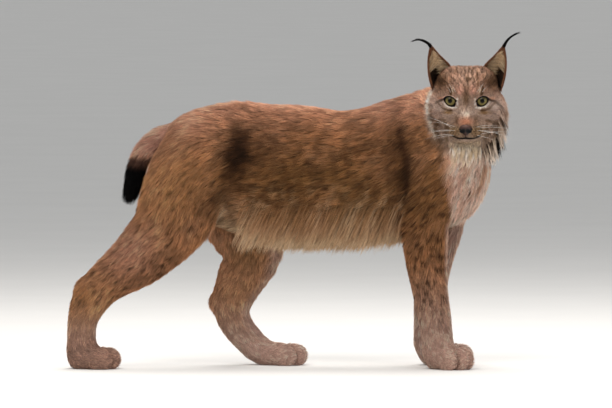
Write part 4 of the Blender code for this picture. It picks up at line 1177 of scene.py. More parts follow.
def eye_material():
    """Rings by the angle from the gaze: black pupil, yellow-green iris with fibres and a shaded top, dark edge."""
    material, tree, shader = principled("eyeball", 0.12, specular=0.06)
    shader.inputs["Coat Weight"].default_value = 0.14
    shader.inputs["Coat Roughness"].default_value = 0.02
    place = node(tree, "ShaderNodeUVMap", uv_map="Polar")
    parts = node(tree, "ShaderNodeSeparateXYZ")
    tree.links.new(place.outputs["UV"], parts.inputs["Vector"])
    rings = ramp(tree, [
        (0.000, (0.01, 0.01, 0.01)),
        (0.078, (0.01, 0.01, 0.01)),
        (0.087, (0.25, 0.21, 0.10)),
        (0.140, (0.43, 0.39, 0.23)),
        (0.200, (0.37, 0.33, 0.18)),
        (0.235, (0.18, 0.15, 0.08)),
        (0.262, (0.03, 0.02, 0.015)),
        (1.000, (0.08, 0.04, 0.03)),
    ])
    tree.links.new(parts.outputs["Y"], rings.inputs["Fac"])
    shade = ramp(tree, [
        (0.00, (0.97, 0.97, 0.97)),
        (0.07, (0.80, 0.80, 0.80)),
        (0.14, (0.50, 0.50, 0.50)),
        (0.36, (0.50, 0.50, 0.50)),
        (0.43, (0.80, 0.80, 0.80)),
        (0.50, (0.97, 0.97, 0.97)),
    ])
    tree.links.new(parts.outputs["X"], shade.inputs["Fac"])
    stretched = node(tree, "ShaderNodeMapping")
    stretched.inputs["Scale"].default_value = (90.0, 6.0, 1.0)
    tree.links.new(place.outputs["UV"], stretched.inputs["Vector"])
    fibres = node(tree, "ShaderNodeTexNoise", Scale=1.0, Detail=3.0)
    tree.links.new(stretched.outputs["Vector"], fibres.inputs["Vector"])
    spread = node(tree, "ShaderNodeMapRange")
    spread.inputs["To Min"].default_value = 0.65
    spread.inputs["To Max"].default_value = 1.30
    tree.links.new(fibres.outputs["Fac"], spread.inputs["Value"])
    scaled = node(tree, "ShaderNodeVectorMath", operation="SCALE")
    tree.links.new(rings.outputs["Color"], scaled.inputs[0])
    tree.links.new(spread.outputs["Result"], scaled.inputs["Scale"])
    shaded = node(tree, "ShaderNodeVectorMath", operation="MULTIPLY")
    tree.links.new(scaled.outputs["Vector"], shaded.inputs[0])
    tree.links.new(shade.outputs["Color"], shaded.inputs[1])
    tree.links.new(shaded.outputs["Vector"], shader.inputs["Base Color"])
    return material


def build_nose():
    """The bare leather pad: its ellipsoids with a tube taken out for each nostril by a smooth maximum."""
    forms = ellipsoids(NOSE, NOSE_BLEND, HEAD)
    holes = [tube(NOSTRIL, 0.001, side_frame(side)) for side in (-1, 1)]

    def hollow(points):
        return np.minimum(holes[0].value(points), holes[1].value(points))

    def field(points):
        return np.logaddexp(blended(points, forms) / 0.0004, -hollow(points) / 0.0004) * 0.0004

    middle = HEAD.outward(NOSE[0][:3])
    points, quads = surface_net(field, middle - 0.022, middle + 0.022, NOSE_STEP)
    nose = mesh_object("nose_pad", points, quads)
    local = HEAD.inward(points)
    leather = filled(points, (0.19, 0.12, 0.10))
    leather = laid(leather, (0.36, 0.24, 0.19), 0.6 * patch(local, (0.070, 0.0, -0.055), (0.01, 0.012, 0.004)))
    # Painted shade: near black in the nostrils and round their openings
    leather = laid(leather, (0.01, 0.008, 0.007), 1 - eased(hollow(points), 0.0008, 0.0036))
    paint(nose, leather)
    return nose


def nose_material():
    """Moist pebbled leather: a small cell pattern as bump over the tint."""
    material, tree, shader = principled("nose_leather", 0.48, specular=0.20)
    tint = node(tree, "ShaderNodeAttribute", attribute_name="tint")
    tree.links.new(tint.outputs["Color"], shader.inputs["Base Color"])
    place = node(tree, "ShaderNodeTexCoord")
    pebbles = node(tree, "ShaderNodeTexVoronoi", Scale=1400.0)
    tree.links.new(place.outputs["Object"], pebbles.inputs["Vector"])
    relief = node(tree, "ShaderNodeBump", Distance=0.0003, Strength=0.6)
    relief.invert = True
    tree.links.new(pebbles.outputs["Distance"], relief.inputs["Height"])
    tree.links.new(relief.outputs["Normal"], shader.inputs["Normal"])
    return material


# Ears


def ear_edges():
    return [smooth_rows(edge, EAR_ROWS_BETWEEN) for edge in (EAR_INNER, EAR_BACK, EAR_OUTER)]


def cup_place(inner, back, outer, across):
    """A place on the cup's middle sheet, across it from the inner edge at -1 to the outer edge at 1."""
    return back + (outer - inner) / 2 * across + ((outer + inner) / 2 - back) * np.abs(across) ** 2.4


def ear_shell(name, side):
    """A cup of rows from root to tip; each row is a curve through the inner edge, the back and the outer edge."""
    inner, back, outer = [edge[:-1, None] for edge in ear_edges()]
    across = np.linspace(-1, 1, EAR_COLUMNS)[None, :, None]
    middle = cup_place(inner, back, outer, across)
    normal = unit(np.cross(np.gradient(middle, axis=0), np.gradient(middle, axis=1)))
    normal *= EAR_THICKNESS / 2 * (1 - 0.55 * np.abs(across) ** 3)
    ring = np.concatenate([middle - normal, (middle + normal)[:, ::-1]], axis=1)
    rows, columns = ring.shape[:2]
    points = np.vstack([ring.reshape(-1, 3), ring[0].mean(0), EAR_BACK[-1]])
    column = np.arange(columns)
    after = (column + 1) % columns
    last = (rows - 1) * columns
    root = np.stack([column, after, np.full(columns, rows * columns)], -1)
    tip = np.stack([last + column, last + after, np.full(columns, rows * columns + 1)], -1)
    mesh = bpy.data.meshes.new(name)
    faces = [*grid_faces(rows, columns).tolist(), *root.tolist(), *tip.tolist()]
    mesh.from_pydata(side_frame(side).outward(points).tolist(), [], faces)
    ear = bpy.data.objects.new(name, mesh)
    bpy.context.collection.objects.link(ear)
    return facing_out(ear)


def ear_colour(points, normals):
    """Inside: dark at the base with pale hair, rust to the edges. Outside: brown, black towards the tip."""
    local = HEAD.inward(points)
    local[:, 1] = np.abs(local[:, 1])
    height = np.clip((local[:, 2] - 0.030) / 0.095, 0, 1)
    facing = eased((normals @ HEAD.axes.T)[:, 0], -0.1, 0.3)
    cup = laid(filled(points, (0.35, 0.26, 0.19)), RUST, 0.4 * eased(height, 0.60, 0.9))
    cup = laid(cup, DARK, 0.90 * (1 - eased(height, 0.10, 0.52)))
    inner_edge = line_distance(local, smooth_rows(EAR_INNER, 3))
    outer_edge = line_distance(local, smooth_rows(EAR_OUTER, 3))
    cup = laid(cup, (0.46, 0.29, 0.20), 0.85 * (1 - eased(np.minimum(inner_edge, outer_edge), 0.006, 0.016)))
    back = laid(filled(points, BROWN), BLACK, 0.9 * eased(height, 0.45, 0.80))
    back = laid(back, GREY, 0.6 * patch(local, (-0.062, 0.072, 0.072), (0.02, 0.012, 0.018)))
    colours = back + (cup - back) * facing[:, None]
    return laid(colours, BLACK, eased(height, 0.93, 1.0))


# Hair


class Surface(NamedTuple):
    """A mesh that hair grows on, with the kind of place and the growth allowed at each triangle's centre."""

    points: np.ndarray
    normals: np.ndarray
    triangles: np.ndarray
    centres: np.ndarray
    kinds: np.ndarray
    growth: np.ndarray


class Roots(NamedTuple):
    """Where hairs grow: places, the skin's normals, the way they lie, the kind of place, and the coat's depth."""

    places: np.ndarray
    normals: np.ndarray
    ways: np.ndarray
    kinds: np.ndarray
    depths: np.ndarray


def growth_at(points):
    """0 where no fur grows: the soles, the lids' band, the nose and the line of the mouth."""
    local = HEAD.inward(points)
    keep = eased(points[:, 2], 0.002, 0.004)
    on_nose = (np.abs(local[:, 1]) < 0.0125) & (local[:, 0] > 0.056) & (local[:, 2] < -0.053) & (local[:, 2] > -0.078)
    keep = keep * ~on_nose
    local[:, 1] = np.abs(local[:, 1])
    keep = keep * (front_distance(local, MOUTH) > 0.0026 - 0.02 * local[:, 1].clip(0, 0.04))
    for side in (-1, 1):
        past, radius = eye_place(points, side)
        keep = keep * ((past > LID_BAND * 0.7) | (radius > EYE_RADIUS + LID_FLESH))
    return keep


def surface_of(piece, growth):
    points, normals, triangles = mesh_arrays(piece)
    centres = points[triangles].mean(1)
    _, kinds = guided(centres)
    return Surface(points, normals, triangles, centres, kinds, growth(centres))


def part_of(surface, chosen):
    """The surface with growth only where chosen is true, or in step with it."""
    return surface._replace(growth=surface.growth * chosen)


def scattered(surface, hair_area, draw):
    """Roots spread over the triangles in step with their growing area, one to each hair's area."""
    corners = surface.points[surface.triangles]
    area = np.linalg.norm(np.cross(corners[:, 1] - corners[:, 0], corners[:, 2] - corners[:, 0]), axis=-1) / 2
    reach = np.cumsum(area * surface.growth / hair_area)
    count = int(reach[-1])
    places = np.searchsorted(reach, (np.arange(count) + draw.random(count)) * reach[-1] / count)
    places = np.minimum(places, len(surface.triangles) - 1)
    first, second = draw.random((2, count))
    flip = first + second > 1
    first[flip], second[flip] = 1 - first[flip], 1 - second[flip]
    weights = np.stack([1 - first - second, first, second], -1)[..., None]
    roots = (corners[places] * weights).sum(1)
    normals = unit((surface.normals[surface.triangles[places]] * weights).sum(1))
    ways, kinds = coat_way(roots, normals)
    return Roots(roots, normals, ways, kinds, coat_depth(roots))


def hair_path(roots, ways, lengths, rises, rings, curl=0.3, droop=0.0):
    """Each hair's path: at share s of its length L, root + L (s way + rise s (1 - curl s) normal + droop s^2 down)."""
    shares = np.linspace(0, 1, rings + 1)
    shares[0] = -0.03
    step = shares[None, :, None]
    length = np.asarray(lengths)[:, None, None]
    lift = np.asarray(rises)[:, None, None] * step * (1 - curl * step)
    path = roots.places[:, None] + length * (step * ways[:, None] + lift * roots.normals[:, None])
    return path + length * droop * step**2 * np.array([0, 0, -1.0])


def tapered(path, facing, widths, flat):
    """A three-sided profile carried along each path and narrowing to its last point."""
    along = unit(np.gradient(path, axis=1))
    across = unit(np.cross(facing[:, None], along))
    upward = np.cross(along, across)
    turn = np.array([math.pi / 2, math.pi * 7 / 6, math.pi * 11 / 6])
    shares = np.linspace(0, 1, path.shape[1])[:-1]
    width = (np.asarray(widths)[:, None] * (1 - shares**1.5))[..., None, None]
    ring = path[:, :-1, None] + width * (
        np.cos(turn)[:, None] * across[:, :-1, None] + flat * np.sin(turn)[:, None] * upward[:, :-1, None]
    )
    return np.concatenate([ring.reshape(len(path), -1, 3), path[:, -1:]], 1)


def hair_faces(rings):
    """The triangles of one hair: its root, the sides between rings and the point."""
    faces = [(0, 2, 1)]
    for ring in range(rings - 1):
        for side in range(3):
            here, there = 3 * ring + side, 3 * ring + (side + 1) % 3
            faces += [(here, there, there + 3), (here, there + 3, here + 3)]
    top = 3 * (rings - 1)
    faces += [(top + side, top + (side + 1) % 3, top + 3) for side in range(3)]
    return np.array(faces)


def coat_mesh(name, path, facing, widths, colours, tips, unwrap, flat=0.5, root_shade_tip_light=(0.60, 1.10)):
    """One mesh of hairs, coloured from root to tip, darkened at the roots as painted shade and lightened at the tips as
    painted light, each with a small patch on the unwrap at its root.
    """
    rings = path.shape[1] - 1
    points = tapered(path, facing, widths, flat)
    points[..., 2] = np.maximum(points[..., 2], 0.0005)
    count, corners = points.shape[:2]
    template = hair_faces(rings)
    faces = (np.arange(count)[:, None, None] * corners + template).reshape(-1, 3)
    coat = mesh_object(name, points.reshape(-1, 3), faces)
    share = np.concatenate([np.repeat(np.arange(rings) / rings, 3), [1.0]])
    # Each hair darkened towards its root as painted shade and lightened towards its tip as painted light
    tone = root_shade_tip_light[0] + (root_shade_tip_light[1] - root_shade_tip_light[0]) * share**0.6
    blend = colours[:, None] + (tips - colours)[:, None] * share[:, None]
    paint(coat, (blend * tone[:, None]).reshape(-1, 3))
    turn = np.tile(np.array([0.25, 0.583, 0.917]) * 2 * math.pi, rings)
    spread = 0.0015 * (1 - share[:-1])
    offsets = np.vstack([np.stack([np.cos(turn), np.sin(turn)], -1) * spread[:, None], [[0, 0]]])
    places = unwrap(path[:, 0])
    patches = (places[:, None, None] + offsets[template]).reshape(-1, 2)
    layer = coat.data.uv_layers.new(name="OFBake")
    layer.data.foreach_set("uv", patches.astype(np.float32).ravel())
    return coat


def gathered(roots, ways, lengths, size, pull, seed):
    """The ways drawn towards the middle of the lock each hair belongs to, and a random number for each lock."""
    spot, _, token = nearest_seed(roots.places, size, seed)
    aim = (spot - roots.places) / np.asarray(lengths)[:, None] * pull
    aim -= roots.normals * (aim * roots.normals).sum(-1, keepdims=True)
    return unit(ways + aim), token


def ruffled(roots, amount, seed, draw):
    """The ways turned a little by smooth noise and by chance, and laid along the skin again."""
    swirl = np.stack([noise(roots.places, 0.03, seed + axis) for axis in range(3)], -1)
    chance = draw.normal(0, 0.5 * amount, roots.ways.shape)
    return along_skin(roots.ways + amount * swirl + chance, roots.normals)


def round_axis(origin, axis, start, low, high):
    """An unwrap on a cylinder: the place along the axis, from 0.03 to 0.97, and the turn about it from start."""
    axis, start = unit(np.array(axis, float)), np.array(start, float)
    start = unit(start - axis * (start @ axis))
    side = np.cross(axis, start)

    def unwrap(points):
        offset = points - origin
        along = (offset @ axis - low) / (high - low)
        turn = np.arctan2(offset @ side, offset @ start) / (2 * math.pi) + 0.5
        return np.clip(np.stack([along, turn], -1), 0, 1) * 0.94 + 0.03

    return unwrap


def tip_colours(roots, ways, lengths):
    """The coat's colours at the places where the hairs end, so that markings keep their edges."""
    ends = roots.places + np.asarray(lengths)[:, None] * ways
    return coat_colour(ends, roots.normals, roots.kinds)


def paler(colours, colour, share):
    """Another colour laid over the light ones only, so that black stays black."""
    return laid(colours, colour, share * eased(colours.mean(1), 0.15, 0.45))


def short_coat(name, surface, hair_area, draw, unwrap, shorter=None, lock=0.010, reach=3.2):
    """Short overlapping fur whose length, width and rise follow the depth of the coat."""
    roots = scattered(surface, hair_area, draw)
    count = len(roots.places)
    scale = np.ones(count) if shorter is None else shorter(roots.places)
    lengths = roots.depths * reach * draw.uniform(0.85, 1.15, count) * scale
    widths = (0.00048 + 0.040 * roots.depths * draw.uniform(0.7, 1.3, count)) * scale**0.5
    rises = roots.depths / lengths * draw.uniform(1.0, 1.3, count) * scale
    ways, token = gathered(roots, ruffled(roots, 0.26, 40, draw), lengths, lock, 0.60, 51)
    tone = (0.82 + 0.36 * token) * draw.uniform(0.86, 1.14, count)
    tone = (1 + (tone - 1) * np.clip(scale, 0, 1) ** 2)[:, None]
    colours = coat_colour(roots.places, roots.normals, roots.kinds) * tone
    tips = paler(tip_colours(roots, ways, lengths) * tone, CREAM, 0.30 * draw.random(count) ** 2)
    return coat_mesh(name, hair_path(roots, ways, lengths, rises, 1), roots.normals, widths, colours, tips, unwrap)


def head_unwrap():
    return round_axis(HEAD.outward([-0.02, 0, 0]), (0, 0, 1), HEAD.axes[0], -0.14, 0.13)


def ruff(name, surface, side, draw):
    """Long hair of the cheeks and jaw on one side, hanging in pointed locks, black and white below."""
    local = HEAD.inward(surface.centres)
    aside = local[:, 1] * side
    band = eased(local[:, 0], -0.085, -0.070) * (1 - eased(local[:, 0], -0.020, 0.010)) * eased(aside, 0.030, 0.050)
    band *= eased(local[:, 2], -0.118, -0.100) * (1 - eased(local[:, 2], 0.010, 0.030))
    band *= (aside < 0.110) * (head_share(surface.centres) > 0.3)
    roots = scattered(part_of(surface, band), 4.0e-6, draw)
    local = HEAD.inward(roots.places)
    low = eased(-local[:, 2], -0.01, 0.09)
    count = len(low)
    aim = np.stack([-0.35 + 0.15 * low, side * (0.50 - 0.35 * low), -0.75 - 0.35 * low], -1)
    ways = unit(unit(aim) @ HEAD.axes + draw.normal(0, 0.07, (count, 3)))
    lengths = (0.018 + 0.022 * low) * draw.uniform(0.75, 1.15, count)
    ways, token = gathered(roots, ways, lengths, 0.013, 0.80, 61)
    colours = coat_colour(roots.places, roots.normals, roots.kinds)
    rim = cheek_rim(np.abs(local[:, 1]), local[:, 2])
    pale = laid(colours, WHITE, 0.90 * rim * (1 - low))
    black = (token < 0.50) * eased(low, 0.25, 0.70)
    tips = laid(laid(pale, WHITE, 0.85 * low), BLACK, black)
    colours = laid(laid(pale, CREAM, 0.50 * low), DARK, 0.85 * black)
    path = hair_path(roots, ways, lengths, np.full(count, 0.22), 4, curl=0.5, droop=0.10)
    widths = draw.uniform(0.0007, 0.0011, count)
    return coat_mesh(name, path, roots.normals, widths, colours, tips, head_unwrap(), root_shade_tip_light=(0.75, 1.08))


def beard(name, surface, draw):
    """Pale hair under the chin and on the throat, hanging in soft points."""
    local = HEAD.inward(surface.centres)
    area = (np.abs(local[:, 1]) < 0.034) & (local[:, 2] < -0.103) & (local[:, 2] > -0.140) & (local[:, 0] > -0.075)
    roots = scattered(part_of(surface, area), 5.0e-6, draw)
    count = len(roots.places)
    ways = unit(0.5 * roots.ways + np.array([-0.05, -0.10, -1.0]) + draw.normal(0, 0.06, (count, 3)))
    lengths = draw.uniform(0.014, 0.022, count)
    ways, token = gathered(roots, ways, lengths, 0.012, 0.75, 67)
    colours = laid(filled(roots.places, CREAM), WHITE, token)
    path = hair_path(roots, ways, lengths, np.full(count, 0.16), 4, curl=0.6, droop=0.10)
    widths = draw.uniform(0.0006, 0.0010, count)
    return coat_mesh(name, path, roots.normals, widths, colours, colours, head_unwrap(), root_shade_tip_light=(0.72, 1.05))


def chest_hair(name, surface, draw, unwrap):
    """Longer loose hair down the chest."""
    x, _, z = surface.centres.T
    area = (surface.kinds == "trunk") * eased(x, 0.325, 0.365) * eased(z, 0.33, 0.37) * eased(0.56 - z, 0, 0.02)
    area = area * (head_share(surface.centres) < 0.6)
    roots = scattered(part_of(surface, area), 9.0e-6, draw)
    count = len(roots.places)
    ways = unit(roots.ways + np.array([0.10, 0, -0.8]) + draw.normal(0, 0.08, (count, 3)))
    lengths = draw.uniform(0.014, 0.022, count)
    ways, token = gathered(roots, ways, lengths, 0.014, 0.70, 71)
    colours = coat_colour(roots.places, roots.normals, roots.kinds)
    tips = paler(colours * (0.85 + 0.25 * token)[:, None], CREAM, np.full(count, 0.20))
    path = hair_path(roots, ways, lengths, np.full(count, 0.38), 4, curl=0.7, droop=0.05)
    widths = draw.uniform(0.0007, 0.0011, count)
    return coat_mesh(name, path, roots.normals, widths, colours, tips, unwrap)


def belly_fringe(name, surface, draw, unwrap):
    """Ragged pale hair that hangs from the lower flanks and the belly to just above a level line."""
    x, _, z = surface.centres.T
    area = (surface.kinds == "trunk") * eased(x, -0.125, -0.08) * (1 - eased(x, 0.270, 0.300)) * (1 - eased(z, 0.345, 0.405))
    roots = scattered(part_of(surface, area), 1.6e-5, draw)
    count = len(roots.places)
    _, _, token = nearest_seed(roots.places, 0.016, 81)
    level = 0.251 + 0.020 * token + 0.014 * eased(roots.places[:, 0], 0.17, 0.27) + draw.uniform(0, 0.014, count)
    ways = unit(0.45 * roots.ways + np.array([-0.10, 0, -1.0]) + draw.normal(0, 0.06, (count, 3)))
    lengths = np.clip((roots.places[:, 2] - level) / 0.95, 0.018, 0.062)
    ways, token = gathered(roots, ways, lengths, 0.014, 0.40, 81)
    colours = coat_colour(roots.places, roots.normals, roots.kinds)
    pale = laid(filled(roots.places, STRAW), UMBER, 0.30 * (token < 0.3))
    pale = laid(pale, CREAM, 0.8 * (token > 0.65))
    tips = laid(colours, pale, 0.30 + 0.55 * (1 - eased(roots.places[:, 2], 0.32, 0.38)))
    path = hair_path(roots, ways, lengths, np.full(count, 0.16), 4, curl=0.9, droop=0.05)
    widths = draw.uniform(0.0006, 0.0010, count)
    return coat_mesh(name, path, roots.normals, widths, colours, tips, unwrap)


def feathers(name, surface, draw, unwrap):
    """Loose hair down the backs of the thighs and behind the elbows."""
    _, _, z = surface.centres.T
    behind = eased(-surface.normals[surface.triangles].mean(1)[:, 0], 0.35, 0.75)
    hind = np.char.startswith(surface.kinds, "hind") * eased(z, 0.10, 0.16) * behind
    elbow = np.char.startswith(surface.kinds, "fore") * eased(z, 0.24, 0.28) * (1 - eased(z, 0.40, 0.44)) * behind
    roots = scattered(part_of(surface, hind + elbow), 1.6e-5, draw)
    count = len(roots.places)
    ways = unit(roots.ways + draw.normal(0, 0.10, (count, 3)) + [0, 0, -0.3])
    lengths = roots.depths * draw.uniform(2.2, 3.2, count)
    ways, token = gathered(roots, ways, lengths, 0.013, 0.70, 91)
    colours = coat_colour(roots.places, roots.normals, roots.kinds)
    tips = paler(tip_colours(roots, ways, lengths), CREAM, 0.25 * token)
    path = hair_path(roots, ways, lengths, draw.uniform(0.28, 0.48, count), 3, curl=0.6)
    widths = draw.uniform(0.0006, 0.0010, count)
    return coat_mesh(name, path, roots.normals, widths, colours, tips, unwrap)


def ear_unwrap(side):
    return round_axis(side_frame(side).outward([-0.045, 0.07, 0.07]), (0, 0, 1), (0, 1, 0), -0.06, 0.07)


def ear_fur(name, ear, side, draw):
    """Short hair over both faces of the ear, lying towards its tip."""
    surface = surface_of(ear, lambda centres: HEAD.inward(centres)[:, 2] > 0.028)
    roots = scattered(surface, 1.6e-6, draw)
    count = len(roots.places)
    toward = side_frame(side).outward([EAR_BACK[-1]]) + 0.02 * HEAD.axes[2] - roots.places
    ways = along_skin(unit(toward) + draw.normal(0, 0.12, (count, 3)), roots.normals)
    lengths = draw.uniform(0.0045, 0.0080, count)
    colours = ear_colour(roots.places, roots.normals) * draw.uniform(0.8, 1.2, count)[:, None]
    path = hair_path(roots, ways, lengths, draw.uniform(0.22, 0.40, count), 1)
    widths = draw.uniform(0.0003, 0.0005, count)
    return coat_mesh(name, path, roots.normals, widths, colours, colours, ear_unwrap(side), root_shade_tip_light=(0.7, 1.1))


def ear_hair(name, side, draw):
    """Long pale hairs from the edges of the ear, fanned over the dark of its cup."""
    count = 300
    inner, back, outer = ear_edges()
    from_inner = draw.random(count) < 0.72
    place = np.where(from_inner, draw.uniform(0.12, 0.72, count), draw.uniform(0.35, 0.65, count))
    row = place * (len(inner) - 1)
    rows = np.arange(len(inner))
    edges = [np.stack([np.interp(row, rows, edge[:, axis]) for axis in range(3)], -1) for edge in (inner, back, outer)]
    across = np.where(from_inner, -draw.uniform(0.72, 0.97, count), draw.uniform(0.80, 0.97, count))[:, None]
    start = cup_place(*edges, across)
    goal = cup_place(*edges, -0.35 * across) + [0.010, 0.0, 0.012]
    reach = np.linalg.norm(goal - start, axis=-1)
    ways = unit(unit(goal - start) + draw.normal(0, 0.10, (count, 3)))
    lengths = reach * draw.uniform(0.75, 1.15, count)
    head = side_frame(side)
    facing = np.broadcast_to(unit(np.array([1.0, -0.1, 0.2])) @ head.axes, (count, 3))
    roots = Roots(head.outward(start), facing, ways @ head.axes, None, None)
    path = hair_path(roots, roots.ways, lengths, draw.uniform(0.15, 0.40, count), 5, curl=0.9)
    colours = laid(filled(start, CREAM), OLIVE, draw.random(count))
    widths = draw.uniform(0.0004, 0.0007, count)
    return coat_mesh(name, path, facing, widths, colours, colours, ear_unwrap(side), root_shade_tip_light=(0.6, 1.1))


def ear_tuft(name, side, draw):
    """Black strands that follow the tuft's middle line and draw together towards its end."""
    count = 130
    middle = smooth_rows(TUFTS[side], 4)
    reach = draw.uniform(0.62, 1.0, count)
    share = 0.14 + np.linspace(0, 1, 10)[None] * (reach[:, None] - 0.14)
    rows = share * (len(middle) - 1)
    numbers = np.arange(len(middle))
    path = np.stack([np.interp(rows, numbers, middle[:, axis]) for axis in range(3)], -1)
    offset = unit(draw.normal(0, 1, (count, 3))) * 0.0044 * np.cbrt(draw.random(count))[:, None]
    fan = 0.0012 * draw.normal(0, 1, (count, 1, 3)) * share[..., None] ** 2
    path = HEAD.outward(path + offset[:, None] * (1 - 0.92 * share[..., None]) + fan)
    facing = np.broadcast_to(HEAD.axes[0], (count, 3))
    colours = laid(filled(path[:, 0], BLACK), UMBER, 0.15 * draw.random(count))
    unwrap = round_axis(HEAD.outward([-0.04, side * 0.11, 0.13]), (side, 0, 0.4), (0, 1, 0), -0.05, 0.05)
    widths = draw.uniform(0.0005, 0.0009, count)
    return coat_mesh(name, path, facing, widths, colours, colours, unwrap, flat=1.0)


def whiskers(name, field, draw):
    """White whiskers from the rows of both pads, curving out and a little down, and a few over the eyes."""
    rows = [(up, aside) for up in (-0.0615, -0.0680, -0.0740) for aside in (0.022, 0.030)]
    places, ways, lengths = [], [], []
    for side in (-1, 1):
        for up, aside in rows:
            places.append((0.056 - 0.35 * (aside - 0.016), side * aside, up))
            spread = draw.normal(0, 0.13, 3)
            ways.append((-0.10 + spread[0], side * (1.0 + spread[1]), 0.16 + 16 * (up + 0.0685) + spread[2]))
            lengths.append(draw.uniform(0.050, 0.088))
        for aside in (0.024, 0.030, 0.036):
            places.append((0.030, side * aside, 0.020))
            ways.append((0.35, side * draw.uniform(0.3, 0.8), 1.0))
            lengths.append(draw.uniform(0.022, 0.034))
    starts = onto_surface(HEAD.outward(places), field, 4)
    count = len(starts)
    facing = np.broadcast_to(HEAD.axes[0], (count, 3))
    roots = Roots(starts, facing, unit(np.array(ways)) @ HEAD.axes, None, None)
    path = hair_path(roots, roots.ways, np.array(lengths), np.full(count, 0.12), 10, curl=1.0, droop=0.22)
    colours = filled(starts, (0.97, 0.95, 0.92))
    return coat_mesh(name, path, facing, np.full(count, 0.00024), colours, colours, head_unwrap(), 1.0, (0.9, 1.0))


def detail_share(points):
    """How long the fur of the head is: short near the eyes, nose and mouth, and full length away from them."""
    local = HEAD.inward(points)
    local[:, 1] = np.abs(local[:, 1])
    nose = np.linalg.norm(local - [0.064, 0.0, -0.065], axis=-1)
    eye = np.linalg.norm(local - [0.028, 0.036, 0.0], axis=-1)
    mouth = front_distance(local, MOUTH)
    near = np.minimum(np.minimum(nose - 0.008, eye - 0.014), mouth)
    return 0.24 + 0.20 * eased(mouth, 0.002, 0.008) + 0.56 * eased(near, 0.004, 0.045)


def main():
    forms = flesh_forms() + head_forms()

    def field(points):
        return blended(points, forms) + coat_depth(points)

    skin = build_skin(field)
    surface = surface_of(skin, growth_at)
    _, kinds = guided(surface.points)
    # The skin is painted with the coat's colours darkened to 0.70, as painted shade under the coat
    paint(skin, coat_colour(surface.points, surface.normals, kinds) * 0.70)
    flesh = ["head", "neck", "torso", "tail", "tail_tip"]
    for side in ("right", "left"):
        flesh += [f"{part}_{side}" for part in ("shoulder", "forearm", "forepaw", "thigh", "shank", "hindpaw")]
    finish(skin, coat_material("skin_coat", bump=0.0012), "body_coat", *flesh)

    draw = np.random.default_rng(7)
    eye_finish = eye_material()
    face_finish = coat_material("face_coat", roughness=0.7)
    ear_finish = coat_material("ear_coat")
    black_finish = coat_material("black_coat", roughness=0.7, specular=0.05)
    trunk_finish = coat_material("trunk_coat")
    leg_finish = coat_material("leg_coat")
    whisker_finish = coat_material("whisker", roughness=0.4, variation=0.05)
    trunk_wrap = round_axis((0, MID_PLANE_Y, 0.45), (1, 0, 0), (0, 0, 1), -0.34, 0.50)

    for side, word in ((-1, "right"), (1, "left")):
        lids = build_lids(f"lids_{word}", side, field)
        points, _, _ = mesh_arrays(lids)
        paint(lids, lid_colour(points, side))
        finish(lids, face_finish, "face_coat")
        rim = surface_of(lids, lambda centres: eye_place(centres, side)[0] > 0.20)
        fur = short_coat(f"fur_lids_{word}", rim, 5.0e-7, draw, head_unwrap(), lambda places: np.full(len(places), 0.30))
        finish(fur, face_finish, "face_coat")
        finish(build_eye(f"eyeball_{word}", side), eye_finish, "eyeball", f"eye_{word}")
        ear = ear_shell(f"ear_shell_{word}", side)
        points, normals, _ = mesh_arrays(ear)
        # The ear's shell darkened to 0.8, as painted shade under its fur
        paint(ear, ear_colour(points, normals) * 0.8)
        finish(ear, ear_finish, "ear_coat", f"ear_{word}")
        finish(ear_fur(f"ear_fur_{word}", ear, side, draw), ear_finish, "ear_coat")
        finish(ear_hair(f"ear_hair_{word}", side, draw), ear_finish, "ear_coat")
        finish(ear_tuft(f"ear_tuft_{word}", side, draw), black_finish, "black_coat", f"tuft_{word}")
        finish(ruff(f"ruff_{word}", surface, side, draw), face_finish, "face_coat")
    finish(build_nose(), nose_material(), "nose_leather", "nose")
    finish(whiskers("whiskers", field, draw), whisker_finish, "face_coat")
    finish(beard("beard", surface, draw), face_finish, "face_coat")
    finish(chest_hair("chest_hair", surface, draw, trunk_wrap), trunk_finish, "body_coat")
    finish(belly_fringe("belly_fringe", surface, draw, trunk_wrap), trunk_finish, "body_coat")
    finish(feathers("feathers", surface, draw, trunk_wrap), leg_finish, "leg_coat")

    centres = surface.centres
    local = HEAD.inward(centres)
    head = head_share(centres) > 0.5
    face = head & (local[:, 0] > -0.030)
    finish(short_coat("fur_face", part_of(surface, face), 1.7e-6, draw, head_unwrap(), detail_share), face_finish, "face_coat")
    finish(short_coat("fur_nape", part_of(surface, head & ~face), 3.2e-6, draw, head_unwrap()), face_finish, "face_coat")
    trunk = (surface.kinds == "trunk") & ~head
    for word, half in (("right", centres[:, 1] < MID_PLANE_Y), ("left", centres[:, 1] >= MID_PLANE_Y)):
        for part, chosen in (("rump", centres[:, 0] < 0.03), ("flank", centres[:, 0] >= 0.03)):
            growing = part_of(surface, trunk & half & chosen)
            fur = short_coat(f"fur_{part}_{word}", growing, 5.5e-6, draw, trunk_wrap, lock=0.015, reach=3.0)
            finish(fur, trunk_finish, "body_coat")
    tail_wrap = round_axis((-0.33, MID_PLANE_Y, 0.46), (0.45, 0, 0.9), (0, 1, 0), -0.09, 0.11)
    tail = part_of(surface, surface.kinds == "tail")
    finish(short_coat("fur_tail", tail, 4.0e-6, draw, tail_wrap), trunk_finish, "body_coat")
    for kind in ("fore_right", "fore_left", "hind_right", "hind_left"):
        leg = part_of(surface, surface.kinds == kind)
        x, y = centres[surface.kinds == kind].mean(0)[:2]
        wrap = round_axis((x, y, 0.0), (0, 0, 1), (0, y - MID_PLANE_Y, 0), -0.01, 0.62)
        finish(short_coat(f"fur_{kind}", leg, 5.0e-6, draw, wrap), leg_finish, "leg_coat")

    set_stage()


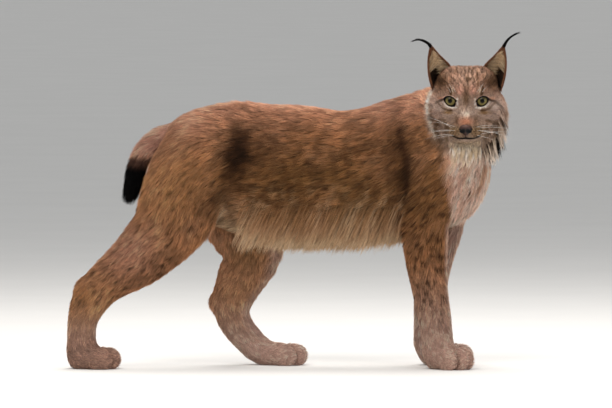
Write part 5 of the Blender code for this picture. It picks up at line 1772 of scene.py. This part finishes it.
def set_stage():
    """A pale floor, a pale world, three soft lights and the camera at the picture's angle."""
    floor_points = FLOOR_HALF_WIDTH * np.array([[-1, -1, 0], [1, -1, 0], [1, 1, 0], [-1, 1, 0]], float)
    floor = mesh_object("floor", floor_points, np.array([[0, 1, 2, 3]]), smooth=False)
    material, tree, shader = principled("floor_paint", 0.9, specular=0.2)
    cloud = object_noise(tree, 3.0)
    tone = ramp(tree, [(0.3, (0.845, 0.835, 0.82)), (0.7, (0.855, 0.845, 0.83))])
    tree.links.new(cloud.outputs["Fac"], tone.inputs["Fac"])
    tree.links.new(tone.outputs["Color"], shader.inputs["Base Color"])
    floor.data.materials.append(material)

    world = bpy.data.worlds.new("studio")
    bpy.context.scene.world = world
    world.use_nodes = True
    world.node_tree.nodes["Background"].inputs["Color"].default_value = (0.80, 0.82, 0.84, 1)
    world.node_tree.nodes["Background"].inputs["Strength"].default_value = 0.72

    lights = [
        ("key", (-0.9, -2.6, 3.4), 2.6, 116.0, (1.0, 0.96, 0.92)),
        ("fill", (2.6, -2.6, 1.6), 2.4, 46.0, (0.96, 0.98, 1.0)),
        ("top", (0.2, 0.9, 3.4), 2.8, 110.0, (1.0, 0.98, 0.96)),
    ]
    for name, place, size, power, colour in lights:
        lamp = bpy.data.lights.new(name, "AREA")
        lamp.shape = "DISK"
        lamp.size = size
        lamp.energy = power
        lamp.color = colour
        made = bpy.data.objects.new(name, lamp)
        made.location = place
        made.rotation_mode = "QUATERNION"
        made.rotation_quaternion = (Vector(place) - Vector((0, 0, 0.35))).to_track_quat("Z", "Y")
        bpy.context.collection.objects.link(made)

    aim = Vector((0.0303, MID_PLANE_Y, 0.3726))
    rise = math.radians(2.5)
    back = Vector((0, -math.cos(rise), math.sin(rise)))
    camera = bpy.data.objects.new("camera", bpy.data.cameras.new("camera"))
    camera.location = aim + CAMERA_DISTANCE * back
    camera.rotation_mode = "QUATERNION"
    camera.rotation_quaternion = back.to_track_quat("Z", "Y")
    camera.data.sensor_width = 36.0
    camera.data.lens = 36.0 * CAMERA_DISTANCE / PICTURE_WIDTH
    camera.data.clip_end = 4 * FLOOR_HALF_WIDTH
    bpy.context.collection.objects.link(camera)
    bpy.context.scene.camera = camera
    bpy.context.scene.view_settings.view_transform = "Standard"


main()
